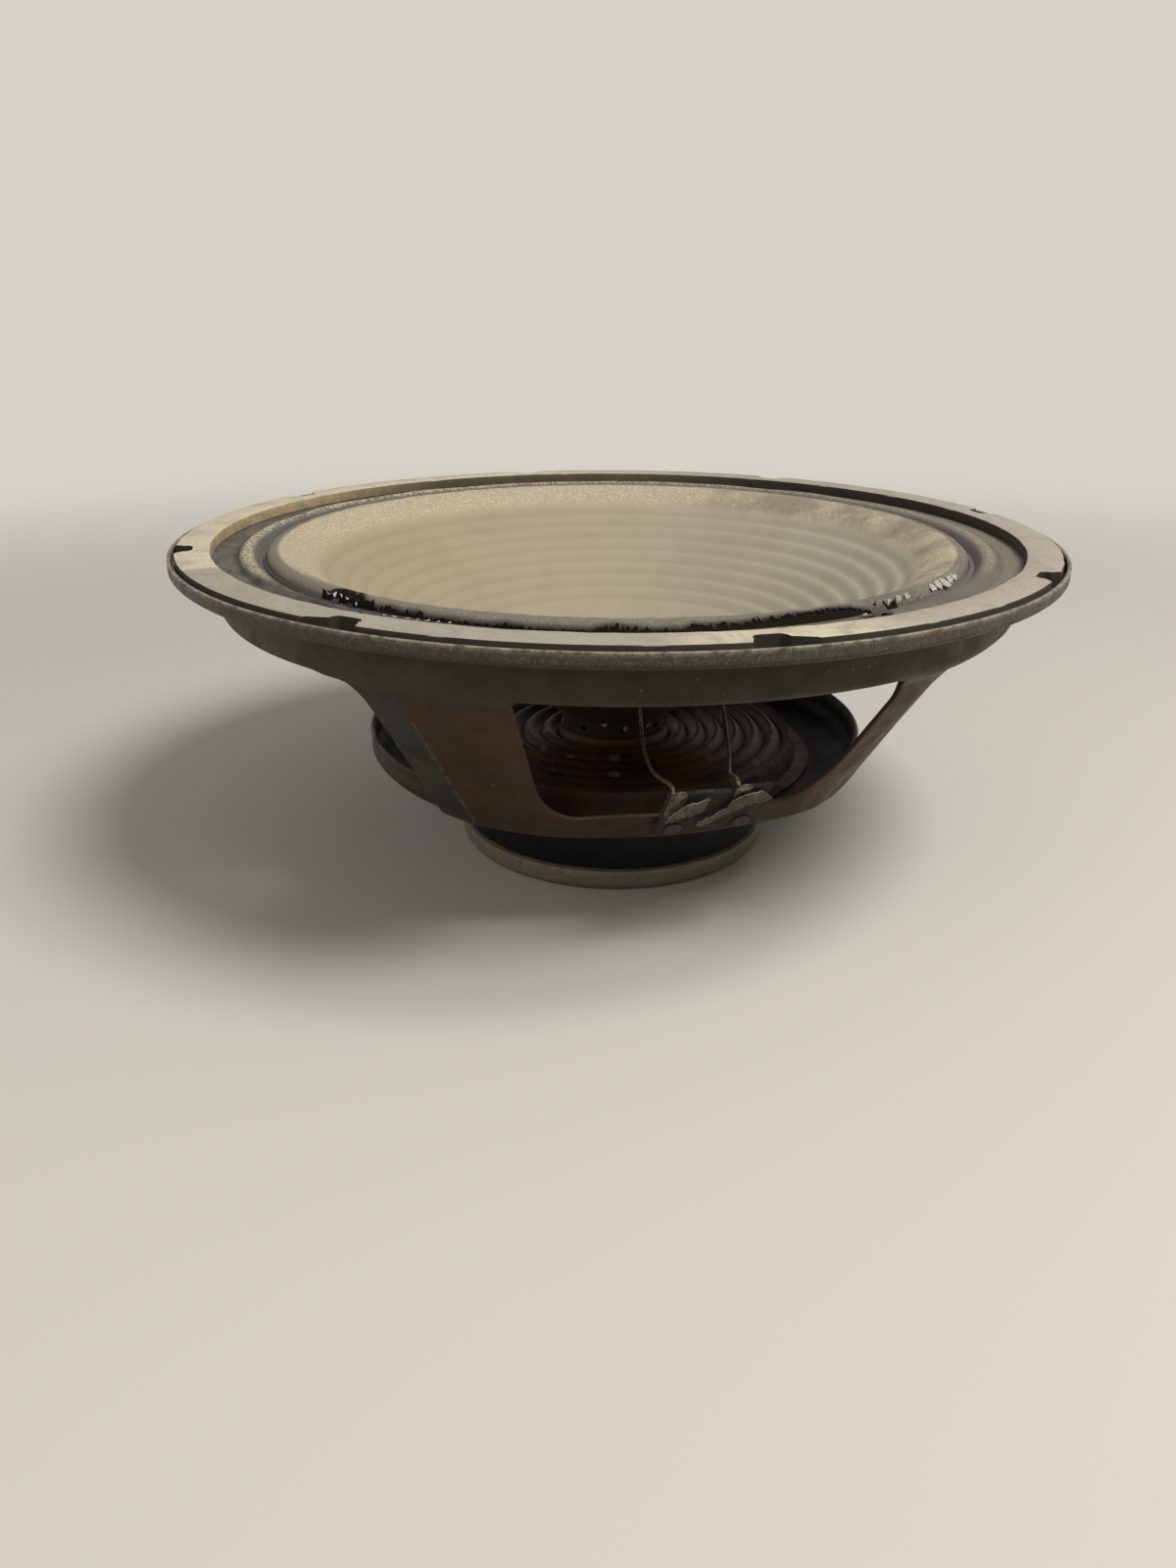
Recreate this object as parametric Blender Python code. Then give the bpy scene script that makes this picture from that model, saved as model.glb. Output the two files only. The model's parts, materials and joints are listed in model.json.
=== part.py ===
"""A 12-inch guitar loudspeaker driver, face up, standing on its magnet.

Metres, +Z up. The origin is the middle of the back plate's underside, on the speaker's axis.
Azimuths are in degrees, from the front (-Y) towards the right (+X).
"""
import math

import bmesh
import bpy
from mathutils import Matrix, Vector

# ---- Driving dimensions -------------------------------------------------------------------
clearance = 0.0003          # between pieces that touch
basket_facets = 120          # facets to a full turn: whole numbers of them between the legs' ridges
ring_facets = 60             # magnet system and gasket
sheet_facets = 36            # cone, surround, spider and what fits them

# magnet system, from the bottom up
back_plate_radius = 0.0588
back_plate_thickness = 0.008
back_plate_rounding = 0.0034
magnet_radius = 0.0575
magnet_bore = 0.030
magnet_thickness = 0.0172
top_plate_inset = 0.0015     # from the magnet's edge in to the top plate's
top_plate_thickness = 0.0057
pole_radius = 0.0186

# voice coil
former_inner_radius = 0.0191
former_wall = 0.0004
former_below_plate = 0.004   # from the top plate's underside down to the former's end
former_above_neck = 0.0025
winding_thickness = 0.0007
winding_height = 0.009
coil_gap = 0.0007            # between the winding and the top plate

# basket
basket_wall = 0.0014
basket_bore = 0.027
floor_margin = 0.00125       # of flat floor outside the spider's landing
dish_width = 0.0155          # from the floor's edge out to the dish's corner
dish_rise = 0.0066           # from the floor's underside up to the dish's corner
window_sill_rise = 0.0146    # from the floor's underside up to the sills of the windows
shoulder_width = 0.0149      # from the top of the sloping wall out to the drum
shoulder_drop = 0.0098       # from the drum's lower edge down to the top of the sloping wall
sill_corner_left = (6.0, 0.012)      # a front window's corners: reach in degrees, and height
sill_corner_right = (9.0, 0.018)
top_corner_right = (5.0, 0.012)
top_corner_left = (1.8, 0.003)
side_corner = (3.0, 0.005)           # every corner of a side window
side_tuck = 0.0045                   # how far the side windows' sills stay in from the sloping wall
drum_height = 0.0142
rim_radius = 0.155
flange_width = 0.015         # from the drum out to the rim's edge
rim_height = 0.005
flange_rise = 0.0794         # from the floor's underside up to the flange's underside
leg_pairs = 2                # a front pair of legs, and the same pair half a turn on
mirror_azimuth = 9.0         # the middle of the front pair
ridge_spread = 36.0          # degrees from there to each leg's ridge
leg_face_left = 15.0         # degrees from a ridge to the front window
leg_face_right = 5.5
leg_flank = 9.0              # degrees from a ridge to the side window
flank_slope = 0.4            # how much of its rise a leg loses over the flank
leg_rise = 0.005             # how far the ridges stand out of the dish
leg_fade = 16.0              # degrees in which the dish swells up to a leg

# holes and gasket
bolt_count = 8
first_bolt_azimuth = 16.5
bolt_inset = 0.0057          # from the rim's edge in to the bolt circle
bolt_hole_radius = 0.0029
gasket_inset = 0.0024        # from the rim's edge in to the gasket
gasket_width = 0.0114
gasket_thickness = 0.0046
gasket_count = 4
first_seam_azimuth = -60.0
notch_depth = 0.0059         # inwards from the gasket's edge
notch_flare = 0.0025         # how much of that depth widens to the mouth
notch_width = 0.0098
notch_mouth = 0.0168

# surround and cone
surround_wall = 0.0005
surround_glued_width = 0.0043        # under the gasket
surround_roll_inset = 0.0117         # from the gasket's inner edge to the roll's crest
surround_groove_width = 0.0065       # from the roll's crest in to the cone's edge
surround_roll_rise = 0.0022
surround_roll_half_width = 0.0038
paper = 0.0009
cone_bead_inset = 0.003      # from the cone's edge in to its bead's crest
cone_bead_rise = 0.0023      # above the surround's flat edge
cone_band_width = 0.014      # from the bead's crest in to the cone's body
cone_body_drop = 0.0055      # below the surround's flat edge
cone_neck_rise = 0.0068      # from the spider's collar up to the cone's neck
rib_count = 8
rib_inset = 0.003            # from the body's edge in to the first groove
rib_pitch = 0.006
rib_depth = 0.0005
dust_cap_radius = 0.0355
dust_cap_lip = 0.003
dust_cap_height = 0.010
dust_cap_wall = 0.0008

# spider
spider_cloth = 0.0006
spider_rise = 0.0073         # from the floor's top up to the middle of its folds
spider_fold_count = 6
spider_first_fold = 0.0255
spider_fold_pitch = 0.0071
spider_fold_depth = 0.0026
spider_collar = 0.003
spider_shoulder_width = 0.0028       # from the last fold out to the step
spider_step_width = 0.0024
spider_landing_width = 0.005

# rivets through the basket's floor and the top plate
floor_rivet_count = 4
floor_rivet_inset = 0.014    # from the top plate's edge in to the rivets
floor_rivet_radius = 0.003
floor_rivet_head = 0.0048
floor_rivet_head_height = 0.0014

# terminal board on the front of the dish
board_azimuth = 18.0
board_width = 0.034
board_above_sill = 0.015
board_below_sill = 0.007
board_thickness = 0.0016
board_rivet_spread = 0.0115
board_rivet_drop = 0.004
board_rivet_radius = 0.0016
board_rivet_head = 0.003
board_rivet_head_height = 0.0006
lug_width = 0.0055
lug_above_board = 0.0032
lug_below_edge = 0.011
lug_thickness = 0.0006
lug_left = -0.0142
lug_right = 0.007
tape_thickness = 0.0008

# braided leads and what they are fastened to on the cone
lead_radius = 0.0007
lead_left_route = [(0.056, 9.8, 0.0580), (0.066, 8.4, 0.0550), (0.080, 7.4, 0.0540),
                   (0.092, 7.6, 0.0550), (0.100, 9.2, 0.0580)]    # radius, azimuth, height
lead_right_route = [(0.057, 43.0, 0.0585), (0.068, 35.0, 0.0550), (0.080, 28.5, 0.0540),
                    (0.091, 24.0, 0.0555), (0.099, 22.2, 0.0580)]
eyelet_circle = 0.049
eyelet_left_azimuth = 10.0
eyelet_right_azimuth = 47.0
eyelet_radius = 0.0011
eyelet_head = 0.0021
eyelet_head_height = 0.0006
coil_wire_radius = 0.0005

# ---- Sizes that follow --------------------------------------------------------------------
top_plate_radius = magnet_radius - top_plate_inset
floor_rivet_circle = top_plate_radius - floor_rivet_inset
spider_shoulder_radius = (spider_first_fold + spider_fold_pitch * (spider_fold_count - 0.5)
                          + spider_shoulder_width)
spider_outer_radius = spider_shoulder_radius + spider_step_width + spider_landing_width
floor_radius = spider_outer_radius + floor_margin
dish_radius = floor_radius + dish_width
drum_radius = rim_radius - flange_width
bolt_circle_radius = rim_radius - bolt_inset
gasket_outer_radius = rim_radius - gasket_inset
gasket_inner_radius = gasket_outer_radius - gasket_width
notch_bottom_radius = gasket_outer_radius - notch_depth
surround_edge_radius = gasket_inner_radius + surround_glued_width
surround_roll_radius = gasket_inner_radius - surround_roll_inset
cone_edge_radius = surround_roll_radius - surround_groove_width
cone_bead_radius = cone_edge_radius - cone_bead_inset
cone_body_radius = cone_bead_radius - cone_band_width
rib_outer_radius = cone_body_radius - rib_inset
magnet_bottom = back_plate_thickness + clearance
magnet_top = magnet_bottom + magnet_thickness
top_plate_bottom = magnet_top + clearance
top_plate_top = top_plate_bottom + top_plate_thickness
floor_bottom = top_plate_top + clearance
floor_top = floor_bottom + basket_wall
sill_height = floor_bottom + window_sill_rise
flange_bottom = floor_bottom + flange_rise
flange_top = flange_bottom + basket_wall
drum_bottom = flange_bottom - drum_height
wall_top = drum_bottom - shoulder_drop
wall_top_radius = drum_radius - shoulder_width
leg_slope = (wall_top_radius - dish_radius) / (wall_top - floor_bottom - dish_rise)
sill_radius = dish_radius + (window_sill_rise - dish_rise) * leg_slope
surround_bottom = flange_top + clearance
surround_middle = surround_bottom + surround_wall / 2
surround_top = surround_bottom + surround_wall
gasket_top = flange_top + clearance + gasket_thickness
former_outer_radius = former_inner_radius + former_wall
winding_inner_radius = former_outer_radius + clearance
winding_outer_radius = winding_inner_radius + winding_thickness
top_plate_bore = winding_outer_radius + coil_gap
neck_radius = former_outer_radius + clearance + paper / 2
cone_body_height = surround_middle - cone_body_drop
spider_middle = floor_top + spider_rise
neck_height = spider_middle + spider_collar + cone_neck_rise
cone_slope = (cone_body_height - neck_height) / (cone_body_radius - neck_radius)
cone_tilt = math.atan(cone_slope)


def cone_middle(radius):
    """Height of the middle of the cone's paper, inside its outer band."""
    return cone_body_height - (cone_body_radius - radius) * cone_slope


def cone_front(radius):
    """Height of the cone's front skin."""
    return cone_middle(radius) + paper / 2 / math.cos(cone_tilt)


# ---- Helpers ------------------------------------------------------------------------------
def polar(radius, azimuth, height):
    angle = math.radians(azimuth)
    return Vector((radius * math.sin(angle), -radius * math.cos(angle), height))


def azimuth_of(point):
    return math.degrees(math.atan2(point.x, -point.y))


def principled(name, colour, roughness, metallic=0.0):
    material = bpy.data.materials.new(name)
    material.use_nodes = True
    shader = material.node_tree.nodes["Principled BSDF"]
    shader.inputs["Base Color"].default_value = (*colour, 1.0)
    shader.inputs["Roughness"].default_value = roughness
    shader.inputs["Metallic"].default_value = metallic
    return material


def add_object(name, shape, material, parent=None, smooth_angle=35):
    """Turns a bmesh into a named object and frees it."""
    bmesh.ops.recalc_face_normals(shape, faces=shape.faces)
    mesh = bpy.data.meshes.new(name)
    shape.to_mesh(mesh)
    shape.free()
    mesh.shade_smooth()
    mesh.set_sharp_from_angle(angle=math.radians(smooth_angle))
    obj = bpy.data.objects.new(name, mesh)
    bpy.context.scene.collection.objects.link(obj)
    if material:
        mesh.materials.append(material)
    obj.parent = parent
    return obj


def add_empty(name, matrix):
    empty = bpy.data.objects.new(name, None)
    bpy.context.scene.collection.objects.link(empty)
    empty.matrix_world = matrix
    return empty


def turned(outline, start=0.0, sweep=360.0, steps=sheet_facets):
    """Spins an outline of (radius, height) points about the axis.

    An outline whose ends lie on the axis stays open, and any other one is closed.
    """
    shape = bmesh.new()
    on_axis = outline[0][0] == 0
    ring = [shape.verts.new(polar(radius, start, height)) for radius, height in outline]
    edges = [shape.edges.new(pair) for pair in zip(ring, ring[1:])]
    if not on_axis:
        edges.append(shape.edges.new((ring[-1], ring[0])))
    whole = sweep == 360.0
    spun = bmesh.ops.spin(shape, geom=ring + edges, cent=(0, 0, 0), axis=(0, 0, 1), dvec=(0, 0, 0),
                          angle=math.radians(sweep), steps=steps, use_merge=False)
    if not whole:
        shape.faces.new(ring)
        shape.faces.new([item for item in spun["geom_last"] if isinstance(item, bmesh.types.BMVert)])
    bmesh.ops.remove_doubles(shape, verts=shape.verts, dist=0.00001)
    return shape


def sheet_outline(points, wall, side=0.0):
    """Outline of a bent sheet whose line is given; side -1, 0 or 1 shifts the wall off the line."""
    line = [Vector(point) for point in points]
    across = [Vector((-(b - a).y, (b - a).x)).normalized() for a, b in zip(line, line[1:])]
    first, second = [], []
    for index, point in enumerate(line):
        before = across[max(index - 1, 0)]
        after = across[min(index, len(across) - 1)]
        normal = (before + after) / (1 + before.dot(after))
        first.append(point + normal * wall * (side + 1) / 2)
        second.append(point + normal * wall * (side - 1) / 2)
    return [tuple(point) for point in first + second[::-1]]


def prism(outline, low, high, place):
    """Extrudes an (x, y) outline from low to high, each point put in place by a function."""
    shape = bmesh.new()
    bottom = [shape.verts.new(place(x, y, low)) for x, y in outline]
    top = [shape.verts.new(place(x, y, high)) for x, y in outline]
    count = len(outline)
    for index in range(count):
        after = (index + 1) % count
        shape.faces.new((bottom[index], bottom[after], top[after], top[index]))
    ends = [shape.faces.new(bottom), shape.faces.new(top)]
    bmesh.ops.triangulate(shape, faces=ends)
    return shape


def rod(radius, low, high, matrix, steps=12):
    shape = bmesh.new()
    length = high - low
    middle = matrix @ Matrix.Translation((0, 0, (low + high) / 2))
    bmesh.ops.create_cone(shape, cap_ends=True, segments=steps, radius1=radius, radius2=radius,
                          depth=length, matrix=middle)
    return shape


def rivet(shank, head, steps, matrix, sides=12):
    """A turned pin: steps holds the heights of tail end, tail underside, head underside, head top."""
    tail_end, tail_inner, head_inner, head_end = steps
    outline = [(0, tail_end), (head, tail_end), (head, tail_inner), (shank, tail_inner),
               (shank, head_inner), (head, head_inner), (head * 0.8, head_end), (0, head_end)]
    shape = turned(outline, steps=sides)
    bmesh.ops.transform(shape, matrix=matrix, verts=shape.verts)
    return shape


def merge_shapes(shapes):
    """Puts separate closed shapes into one bmesh, for a cutter."""
    whole = bmesh.new()
    for shape in shapes:
        mesh = bpy.data.meshes.new("piece")
        shape.to_mesh(mesh)
        shape.free()
        whole.from_mesh(mesh)
        bpy.data.meshes.remove(mesh)
    return whole


def cut(target, shapes):
    cutter = add_object(target.name + "_cutter", merge_shapes(shapes), None, target.parent)
    cutter.hide_render = True
    cutter.display_type = "WIRE"
    boolean = target.modifiers.new("Cut", "BOOLEAN")
    boolean.operation = "DIFFERENCE"
    boolean.solver = "EXACT"
    boolean.object = cutter


def tube(name, points, radius, material, parent=None):
    """A round cord along a smooth curve through a few points, with filled ends."""
    curve = bpy.data.curves.new(name, "CURVE")
    curve.dimensions = "3D"
    curve.bevel_depth = radius
    curve.bevel_resolution = 2
    curve.use_fill_caps = True
    route = smooth_route(points)
    spline = curve.splines.new("POLY")
    spline.points.add(len(route) - 1)
    for place, point in zip(spline.points, route):
        place.co = (*point, 1.0)
    curve.materials.append(material)
    obj = bpy.data.objects.new(name, curve)
    bpy.context.scene.collection.objects.link(obj)
    obj.parent = parent
    return obj


def smooth_route(points, steps=4):
    """Catmull-Rom curve through the points."""
    line = [points[0] * 2 - points[1], *points, points[-1] * 2 - points[-2]]
    route = []
    for a, b, c, d in zip(line, line[1:], line[2:], line[3:]):
        for step in range(steps):
            t = step / steps
            route.append(0.5 * (2 * b + (c - a) * t + (2 * a - 5 * b + 4 * c - d) * t ** 2
                                + (3 * b - 3 * c + d - a) * t ** 3))
    return route + [points[-1]]


# ---- Magnet system ------------------------------------------------------------------------
def make_back_plate(material):
    quarter = [math.radians(30 * step) for step in range(4)]
    rounded = [(back_plate_radius - back_plate_rounding * (1 - math.sin(angle)),
                back_plate_rounding * (1 - math.cos(angle))) for angle in quarter]
    edge = 0.0006
    outline = [(0, 0), *rounded, (back_plate_radius, back_plate_thickness - edge),
               (back_plate_radius - edge, back_plate_thickness), (0, back_plate_thickness)]
    return add_object("back_plate", turned(outline, steps=ring_facets), material)


def make_ring(name, inner, outer, low, high, edge, material):
    outline = [(inner, low), (outer, low), (outer, high - edge), (outer - edge, high), (inner, high)]
    return add_object(name, turned(outline, steps=ring_facets), material)


def floor_rivet_places():
    for index in range(floor_rivet_count):
        azimuth = mirror_azimuth - ridge_spread + 360 / floor_rivet_count * index
        yield Matrix.Translation(polar(floor_rivet_circle, azimuth, 0))


def make_magnet_system(steel, ferrite, rivet_steel):
    make_back_plate(steel)
    make_ring("magnet", magnet_bore, magnet_radius, magnet_bottom, magnet_top, 0.0008, ferrite)
    plate = make_ring("top_plate", top_plate_bore, top_plate_radius, top_plate_bottom, top_plate_top,
                      0.0004, steel)
    cut(plate, [rod(floor_rivet_radius + clearance, top_plate_bottom - 0.001, top_plate_top + 0.001,
                    place) for place in floor_rivet_places()])
    pole = [(0, magnet_bottom), (pole_radius, magnet_bottom), (pole_radius, top_plate_top),
            (0, top_plate_top)]
    add_object("pole_piece", turned(pole), steel)
    head = floor_top + clearance
    for index, place in enumerate(floor_rivet_places(), 1):
        outline = [(0, top_plate_bottom), (floor_rivet_radius, top_plate_bottom),
                   (floor_rivet_radius, head), (floor_rivet_head, head),
                   (floor_rivet_head * 0.75, head + floor_rivet_head_height),
                   (0, head + floor_rivet_head_height)]
        shape = turned(outline, steps=12)
        bmesh.ops.transform(shape, matrix=place, verts=shape.verts)
        add_object(f"floor_rivet_{index}", shape, rivet_steel)


# ---- Basket -------------------------------------------------------------------------------
def basket_line():
    """The basket's outer skin, from its bore out over the floor and up to the rim's edge."""
    return [(basket_bore, floor_bottom), (floor_radius, floor_bottom),
            (dish_radius - 0.0027, floor_bottom + dish_rise * 0.55),
            (dish_radius, floor_bottom + dish_rise),
            (sill_radius, sill_height), (wall_top_radius, wall_top),
            (wall_top_radius + shoulder_width * 0.45, drum_bottom - shoulder_drop * 0.41),
            (wall_top_radius + shoulder_width * 0.85, drum_bottom - shoulder_drop * 0.14),
            (drum_radius, drum_bottom + 0.001), (drum_radius, flange_bottom),
            (rim_radius - 0.0012, flange_bottom), (rim_radius, flange_bottom + 0.0012),
            (rim_radius, flange_bottom + rim_height)]


def share(value):
    return min(1.0, max(0.0, value))


def leg_swell(azimuth, height):
    """How far the basket stands off its round form: out at the legs, in at the side windows' sills."""
    repeat = 360 / leg_pairs
    off = (azimuth - mirror_azimuth + repeat / 2) % repeat - repeat / 2
    beyond = abs(off) - ridge_spread
    rise = share((height - floor_top) / (dish_rise - basket_wall))
    fade = share((drum_bottom + 0.001 - height) / 0.012)
    if beyond < 0:
        face = leg_face_left if off < 0 else leg_face_right
        across = (1 + 0.1 * beyond / face) * share((face + leg_fade + beyond) / leg_fade)
        return leg_rise * across * rise * fade
    across = (1 - flank_slope * share(beyond / leg_flank)) * share((leg_flank + 3 - beyond) / 3)
    above_dish = height - floor_bottom - dish_rise
    tuck = side_tuck * share(above_dish / (window_sill_rise - dish_rise)) * share((beyond - leg_flank) / 3)
    return leg_rise * across * rise * fade - tuck * share((wall_top - height) / 0.03)


def window_outline(left, right, corners):
    """A window as (azimuth, height) points; corners go round from the sill's left one."""
    top = drum_bottom - 0.0004
    places = [(left, sill_height, 180), (right, sill_height, 270), (right, top, 0), (left, top, 90)]
    outline = []
    for (azimuth, height, start), (reach, rise) in zip(places, corners):
        middle = azimuth + (reach if azimuth == left else -reach)
        centre = height + (rise if height == sill_height else -rise)
        for step in range(4):
            angle = math.radians(start + 30 * step)
            outline.append((middle + reach * math.cos(angle), centre + rise * math.sin(angle)))
    return stepped(outline)


def stepped(outline):
    """Adds points to an outline's long level edges, which run round the basket."""
    points = []
    for (azimuth, height), (after, height_after) in zip(outline, outline[1:] + outline[:1]):
        pieces = max(1, math.ceil(abs(after - azimuth) / 12))
        points += [(azimuth + (after - azimuth) * piece / pieces,
                    height + (height_after - height) * piece / pieces) for piece in range(pieces)]
    return points


def window_cutters():
    inner = floor_radius * 0.7
    outer = rim_radius * 2
    front = window_outline(mirror_azimuth - ridge_spread + leg_face_left,
                           mirror_azimuth + ridge_spread - leg_face_right,
                           [sill_corner_left, sill_corner_right, top_corner_right, top_corner_left])
    side = window_outline(mirror_azimuth + ridge_spread + leg_flank,
                          mirror_azimuth + 360 / leg_pairs - ridge_spread - leg_flank, [side_corner] * 4)
    for index in range(leg_pairs):
        turn = 360 / leg_pairs * index
        for outline in (front, side):
            yield prism(outline, inner, outer,
                        lambda azimuth, height, radius: polar(radius, azimuth + turn, height))


def bolt_azimuths():
    return [first_bolt_azimuth + 360 / bolt_count * index for index in range(bolt_count)]


def make_basket(material):
    outline = sheet_outline(basket_line(), basket_wall, 1.0)
    shape = turned(outline, start=mirror_azimuth - ridge_spread, steps=basket_facets)
    for vert in shape.verts:
        radius = vert.co.xy.length
        reach = leg_swell(azimuth_of(vert.co), vert.co.z)
        vert.co.xy *= (radius + reach) / radius
    basket = add_object("basket", shape, material)
    bolt_holes = [rod(bolt_hole_radius, flange_bottom - 0.002, flange_top + 0.002,
                      Matrix.Translation(polar(bolt_circle_radius, azimuth, 0)))
                  for azimuth in bolt_azimuths()]
    floor_holes = [rod(floor_rivet_radius + clearance, floor_bottom - 0.001, floor_top + 0.001, place)
                   for place in floor_rivet_places()]
    board_holes = [rod(board_rivet_radius + clearance, -0.006, 0.002, place)
                   for place in board_rivet_places()]
    cut(basket, [*window_cutters(), *bolt_holes, *floor_holes, *board_holes])


# ---- Gasket -------------------------------------------------------------------------------
def make_gasket(material):
    base = flange_top + clearance
    step = surround_top + clearance
    step_radius = surround_edge_radius + clearance
    edge = 0.0005
    outline = [(gasket_inner_radius, step), (step_radius, step), (step_radius, base),
               (gasket_outer_radius, base), (gasket_outer_radius, gasket_top - edge),
               (gasket_outer_radius - edge, gasket_top), (gasket_inner_radius + edge, gasket_top),
               (gasket_inner_radius, gasket_top - edge)]
    seam = math.degrees(clearance / gasket_inner_radius)
    sweep = 360 / gasket_count
    for index in range(gasket_count):
        start = first_seam_azimuth + sweep * index
        shape = turned(outline, start + seam / 2, sweep - seam, ring_facets // gasket_count)
        segment = add_object(f"gasket_{index + 1}", shape, material)
        inside = [azimuth for azimuth in bolt_azimuths() if 0 < (azimuth - start) % 360 < sweep]
        cut(segment, [notch_cutter(azimuth) for azimuth in inside])


def notch_cutter(azimuth):
    """A U-shaped notch that opens outwards around a bolt hole and flares at its mouth."""
    half = notch_width / 2
    mouth = notch_mouth / 2
    outer = gasket_outer_radius + 0.002
    flare = gasket_outer_radius - notch_flare
    outline = [(-mouth, outer), (-mouth * 0.86, gasket_outer_radius - notch_flare / 3), (-half, flare),
               (-half, notch_bottom_radius + 0.0015), (-half * 0.7, notch_bottom_radius),
               (half * 0.7, notch_bottom_radius), (half, notch_bottom_radius + 0.0015),
               (half, flare), (mouth * 0.86, gasket_outer_radius - notch_flare / 3), (mouth, outer)]
    turn = Matrix.Rotation(math.radians(azimuth), 4, "Z")
    return prism(outline, flange_top - 0.001, gasket_top + 0.001,
                 lambda across, radius, height: turn @ Vector((across, -radius, height)))


# ---- Surround, cone and spider ------------------------------------------------------------
def make_surround(material):
    """Flat glued edge, one roll, then a groove up to the cone's edge."""
    foot = surround_roll_radius + surround_roll_half_width
    inner = surround_roll_radius - surround_roll_half_width - 0.0004
    crest = surround_middle + surround_roll_rise
    end = cone_edge_radius + paper / 2 + clearance + surround_wall / 2 + 0.0002
    line = [(surround_edge_radius, surround_middle), (foot + 0.0012, surround_middle),
            (foot, surround_middle - 0.0003), (surround_roll_radius + 0.002, crest - 0.0006),
            (surround_roll_radius, crest), (surround_roll_radius - 0.002, crest - 0.0007),
            (inner, surround_middle - 0.0019), (end + 0.0003, surround_middle - 0.0018),
            (end, surround_middle - 0.0006)]
    return add_object("surround", turned(sheet_outline(line, surround_wall)), material)


def cone_outline():
    """The cone's section: a band with a rounded bead, then a body with ribs pressed in its front."""
    edge = surround_middle - 0.0021
    crest = surround_middle + cone_bead_rise - paper / 2
    line = [(neck_radius, neck_height), (cone_body_radius, cone_body_height),
            ((cone_bead_radius + cone_body_radius) / 2, (crest + cone_body_height) / 2 + 0.001),
            (cone_bead_radius - 0.0024, crest - 0.0004), (cone_bead_radius, crest),
            (cone_edge_radius - 0.0014, crest - 0.0004), (cone_edge_radius - 0.0003, edge + 0.0024),
            (cone_edge_radius, edge)]
    skins = sheet_outline(line, paper)
    front, back = skins[:len(line)], skins[len(line):]
    ribs = []
    for index in range(rib_count):
        groove = rib_outer_radius - rib_pitch * index
        for radius, drop in ((groove, rib_depth), (groove - rib_pitch / 2, 0)):
            ribs.append((radius, cone_front(radius) - drop))
    return [front[0], *ribs[::-1], *front[1:], *back]


def eyelet_matrix(azimuth):
    """Stands on the front skin of the cone, with Z along the skin's outward normal."""
    outward = polar(1, azimuth, 0)
    normal = (Vector((0, 0, math.cos(cone_tilt))) - outward * math.sin(cone_tilt)).normalized()
    sideways = polar(1, azimuth + 90, 0)
    matrix = Matrix((sideways, normal.cross(sideways), normal)).transposed().to_4x4()
    matrix.translation = polar(eyelet_circle, azimuth, cone_front(eyelet_circle))
    return matrix


def eyelet_tail():
    """Depth of the eyelet's lower end below the cone's front skin."""
    return -(paper + clearance + eyelet_head_height)


def make_cone_assembly(paper_material, cap_material, foil, copper, brass, carriage):
    cone = add_object("cone", turned(cone_outline()), paper_material, carriage)
    places = {"left": eyelet_matrix(eyelet_left_azimuth), "right": eyelet_matrix(eyelet_right_azimuth)}
    cut(cone, [rod(eyelet_radius + clearance, -0.003, 0.003, place) for place in places.values()])
    for side, place in places.items():
        levels = (eyelet_tail(), -paper - clearance, clearance, clearance + eyelet_head_height)
        add_object(f"eyelet_{side}", rivet(eyelet_radius, eyelet_head, levels, place), brass,
                   carriage)
        make_coil_wire(side, place, copper, carriage)
    make_dust_cap(cap_material, carriage)
    former_bottom = top_plate_bottom - former_below_plate
    former_top = neck_height + former_above_neck
    former = [(former_inner_radius, former_bottom), (former_outer_radius, former_bottom),
              (former_outer_radius, former_top), (former_inner_radius, former_top)]
    add_object("coil_former", turned(former), foil, carriage)
    middle = (top_plate_bottom + top_plate_top) / 2
    low, high = middle - winding_height / 2, middle + winding_height / 2
    winding = [(winding_inner_radius, low), (winding_outer_radius, low),
               (winding_outer_radius, high), (winding_inner_radius, high)]
    add_object("coil_winding", turned(winding), copper, carriage)


def make_coil_wire(side, place, material, carriage):
    """A lead-out wire on the cone's front skin, from the dust cap's edge to the eyelet."""
    down = (place @ Vector((0, 1, 0)) - place.translation).normalized()
    if down.z > 0:
        down = -down
    normal = place.to_3x3().col[2]
    reach = (eyelet_circle - dust_cap_radius) / math.cos(cone_tilt)
    start = place.translation + normal * (coil_wire_radius + clearance)
    first = start + down * (eyelet_head + clearance)
    last = start + down * (reach - 0.0012)
    middle = (first + last) / 2 + normal * 0.0006
    tube(f"coil_wire_{side}", [first, middle, last], coil_wire_radius, material, carriage)


def make_dust_cap(material, carriage):
    lift = (clearance + dust_cap_wall / 2) / math.cos(cone_tilt)
    seat = dust_cap_radius - dust_cap_lip
    base = cone_front(seat) + lift + 0.0004
    line = [(dust_cap_radius, cone_front(dust_cap_radius) + lift), (seat, cone_front(seat) + lift)]
    for step in range(1, 6):
        angle = math.radians(90 - 18 * step)
        line.append(((seat - 0.0008) * math.sin(angle), base + dust_cap_height * math.cos(angle)))
    line[-1] = (0.0, line[-1][1])
    outline = sheet_outline(line, dust_cap_wall)
    crown = len(line)
    upper = [(0.0 if index == crown - 1 else radius, height)
             for index, (radius, height) in enumerate(outline[:crown])]
    lower = [(0.0 if index == 0 else radius, height)
             for index, (radius, height) in enumerate(outline[crown:])]
    add_object("dust_cap", turned(lower + upper), material, carriage)


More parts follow.
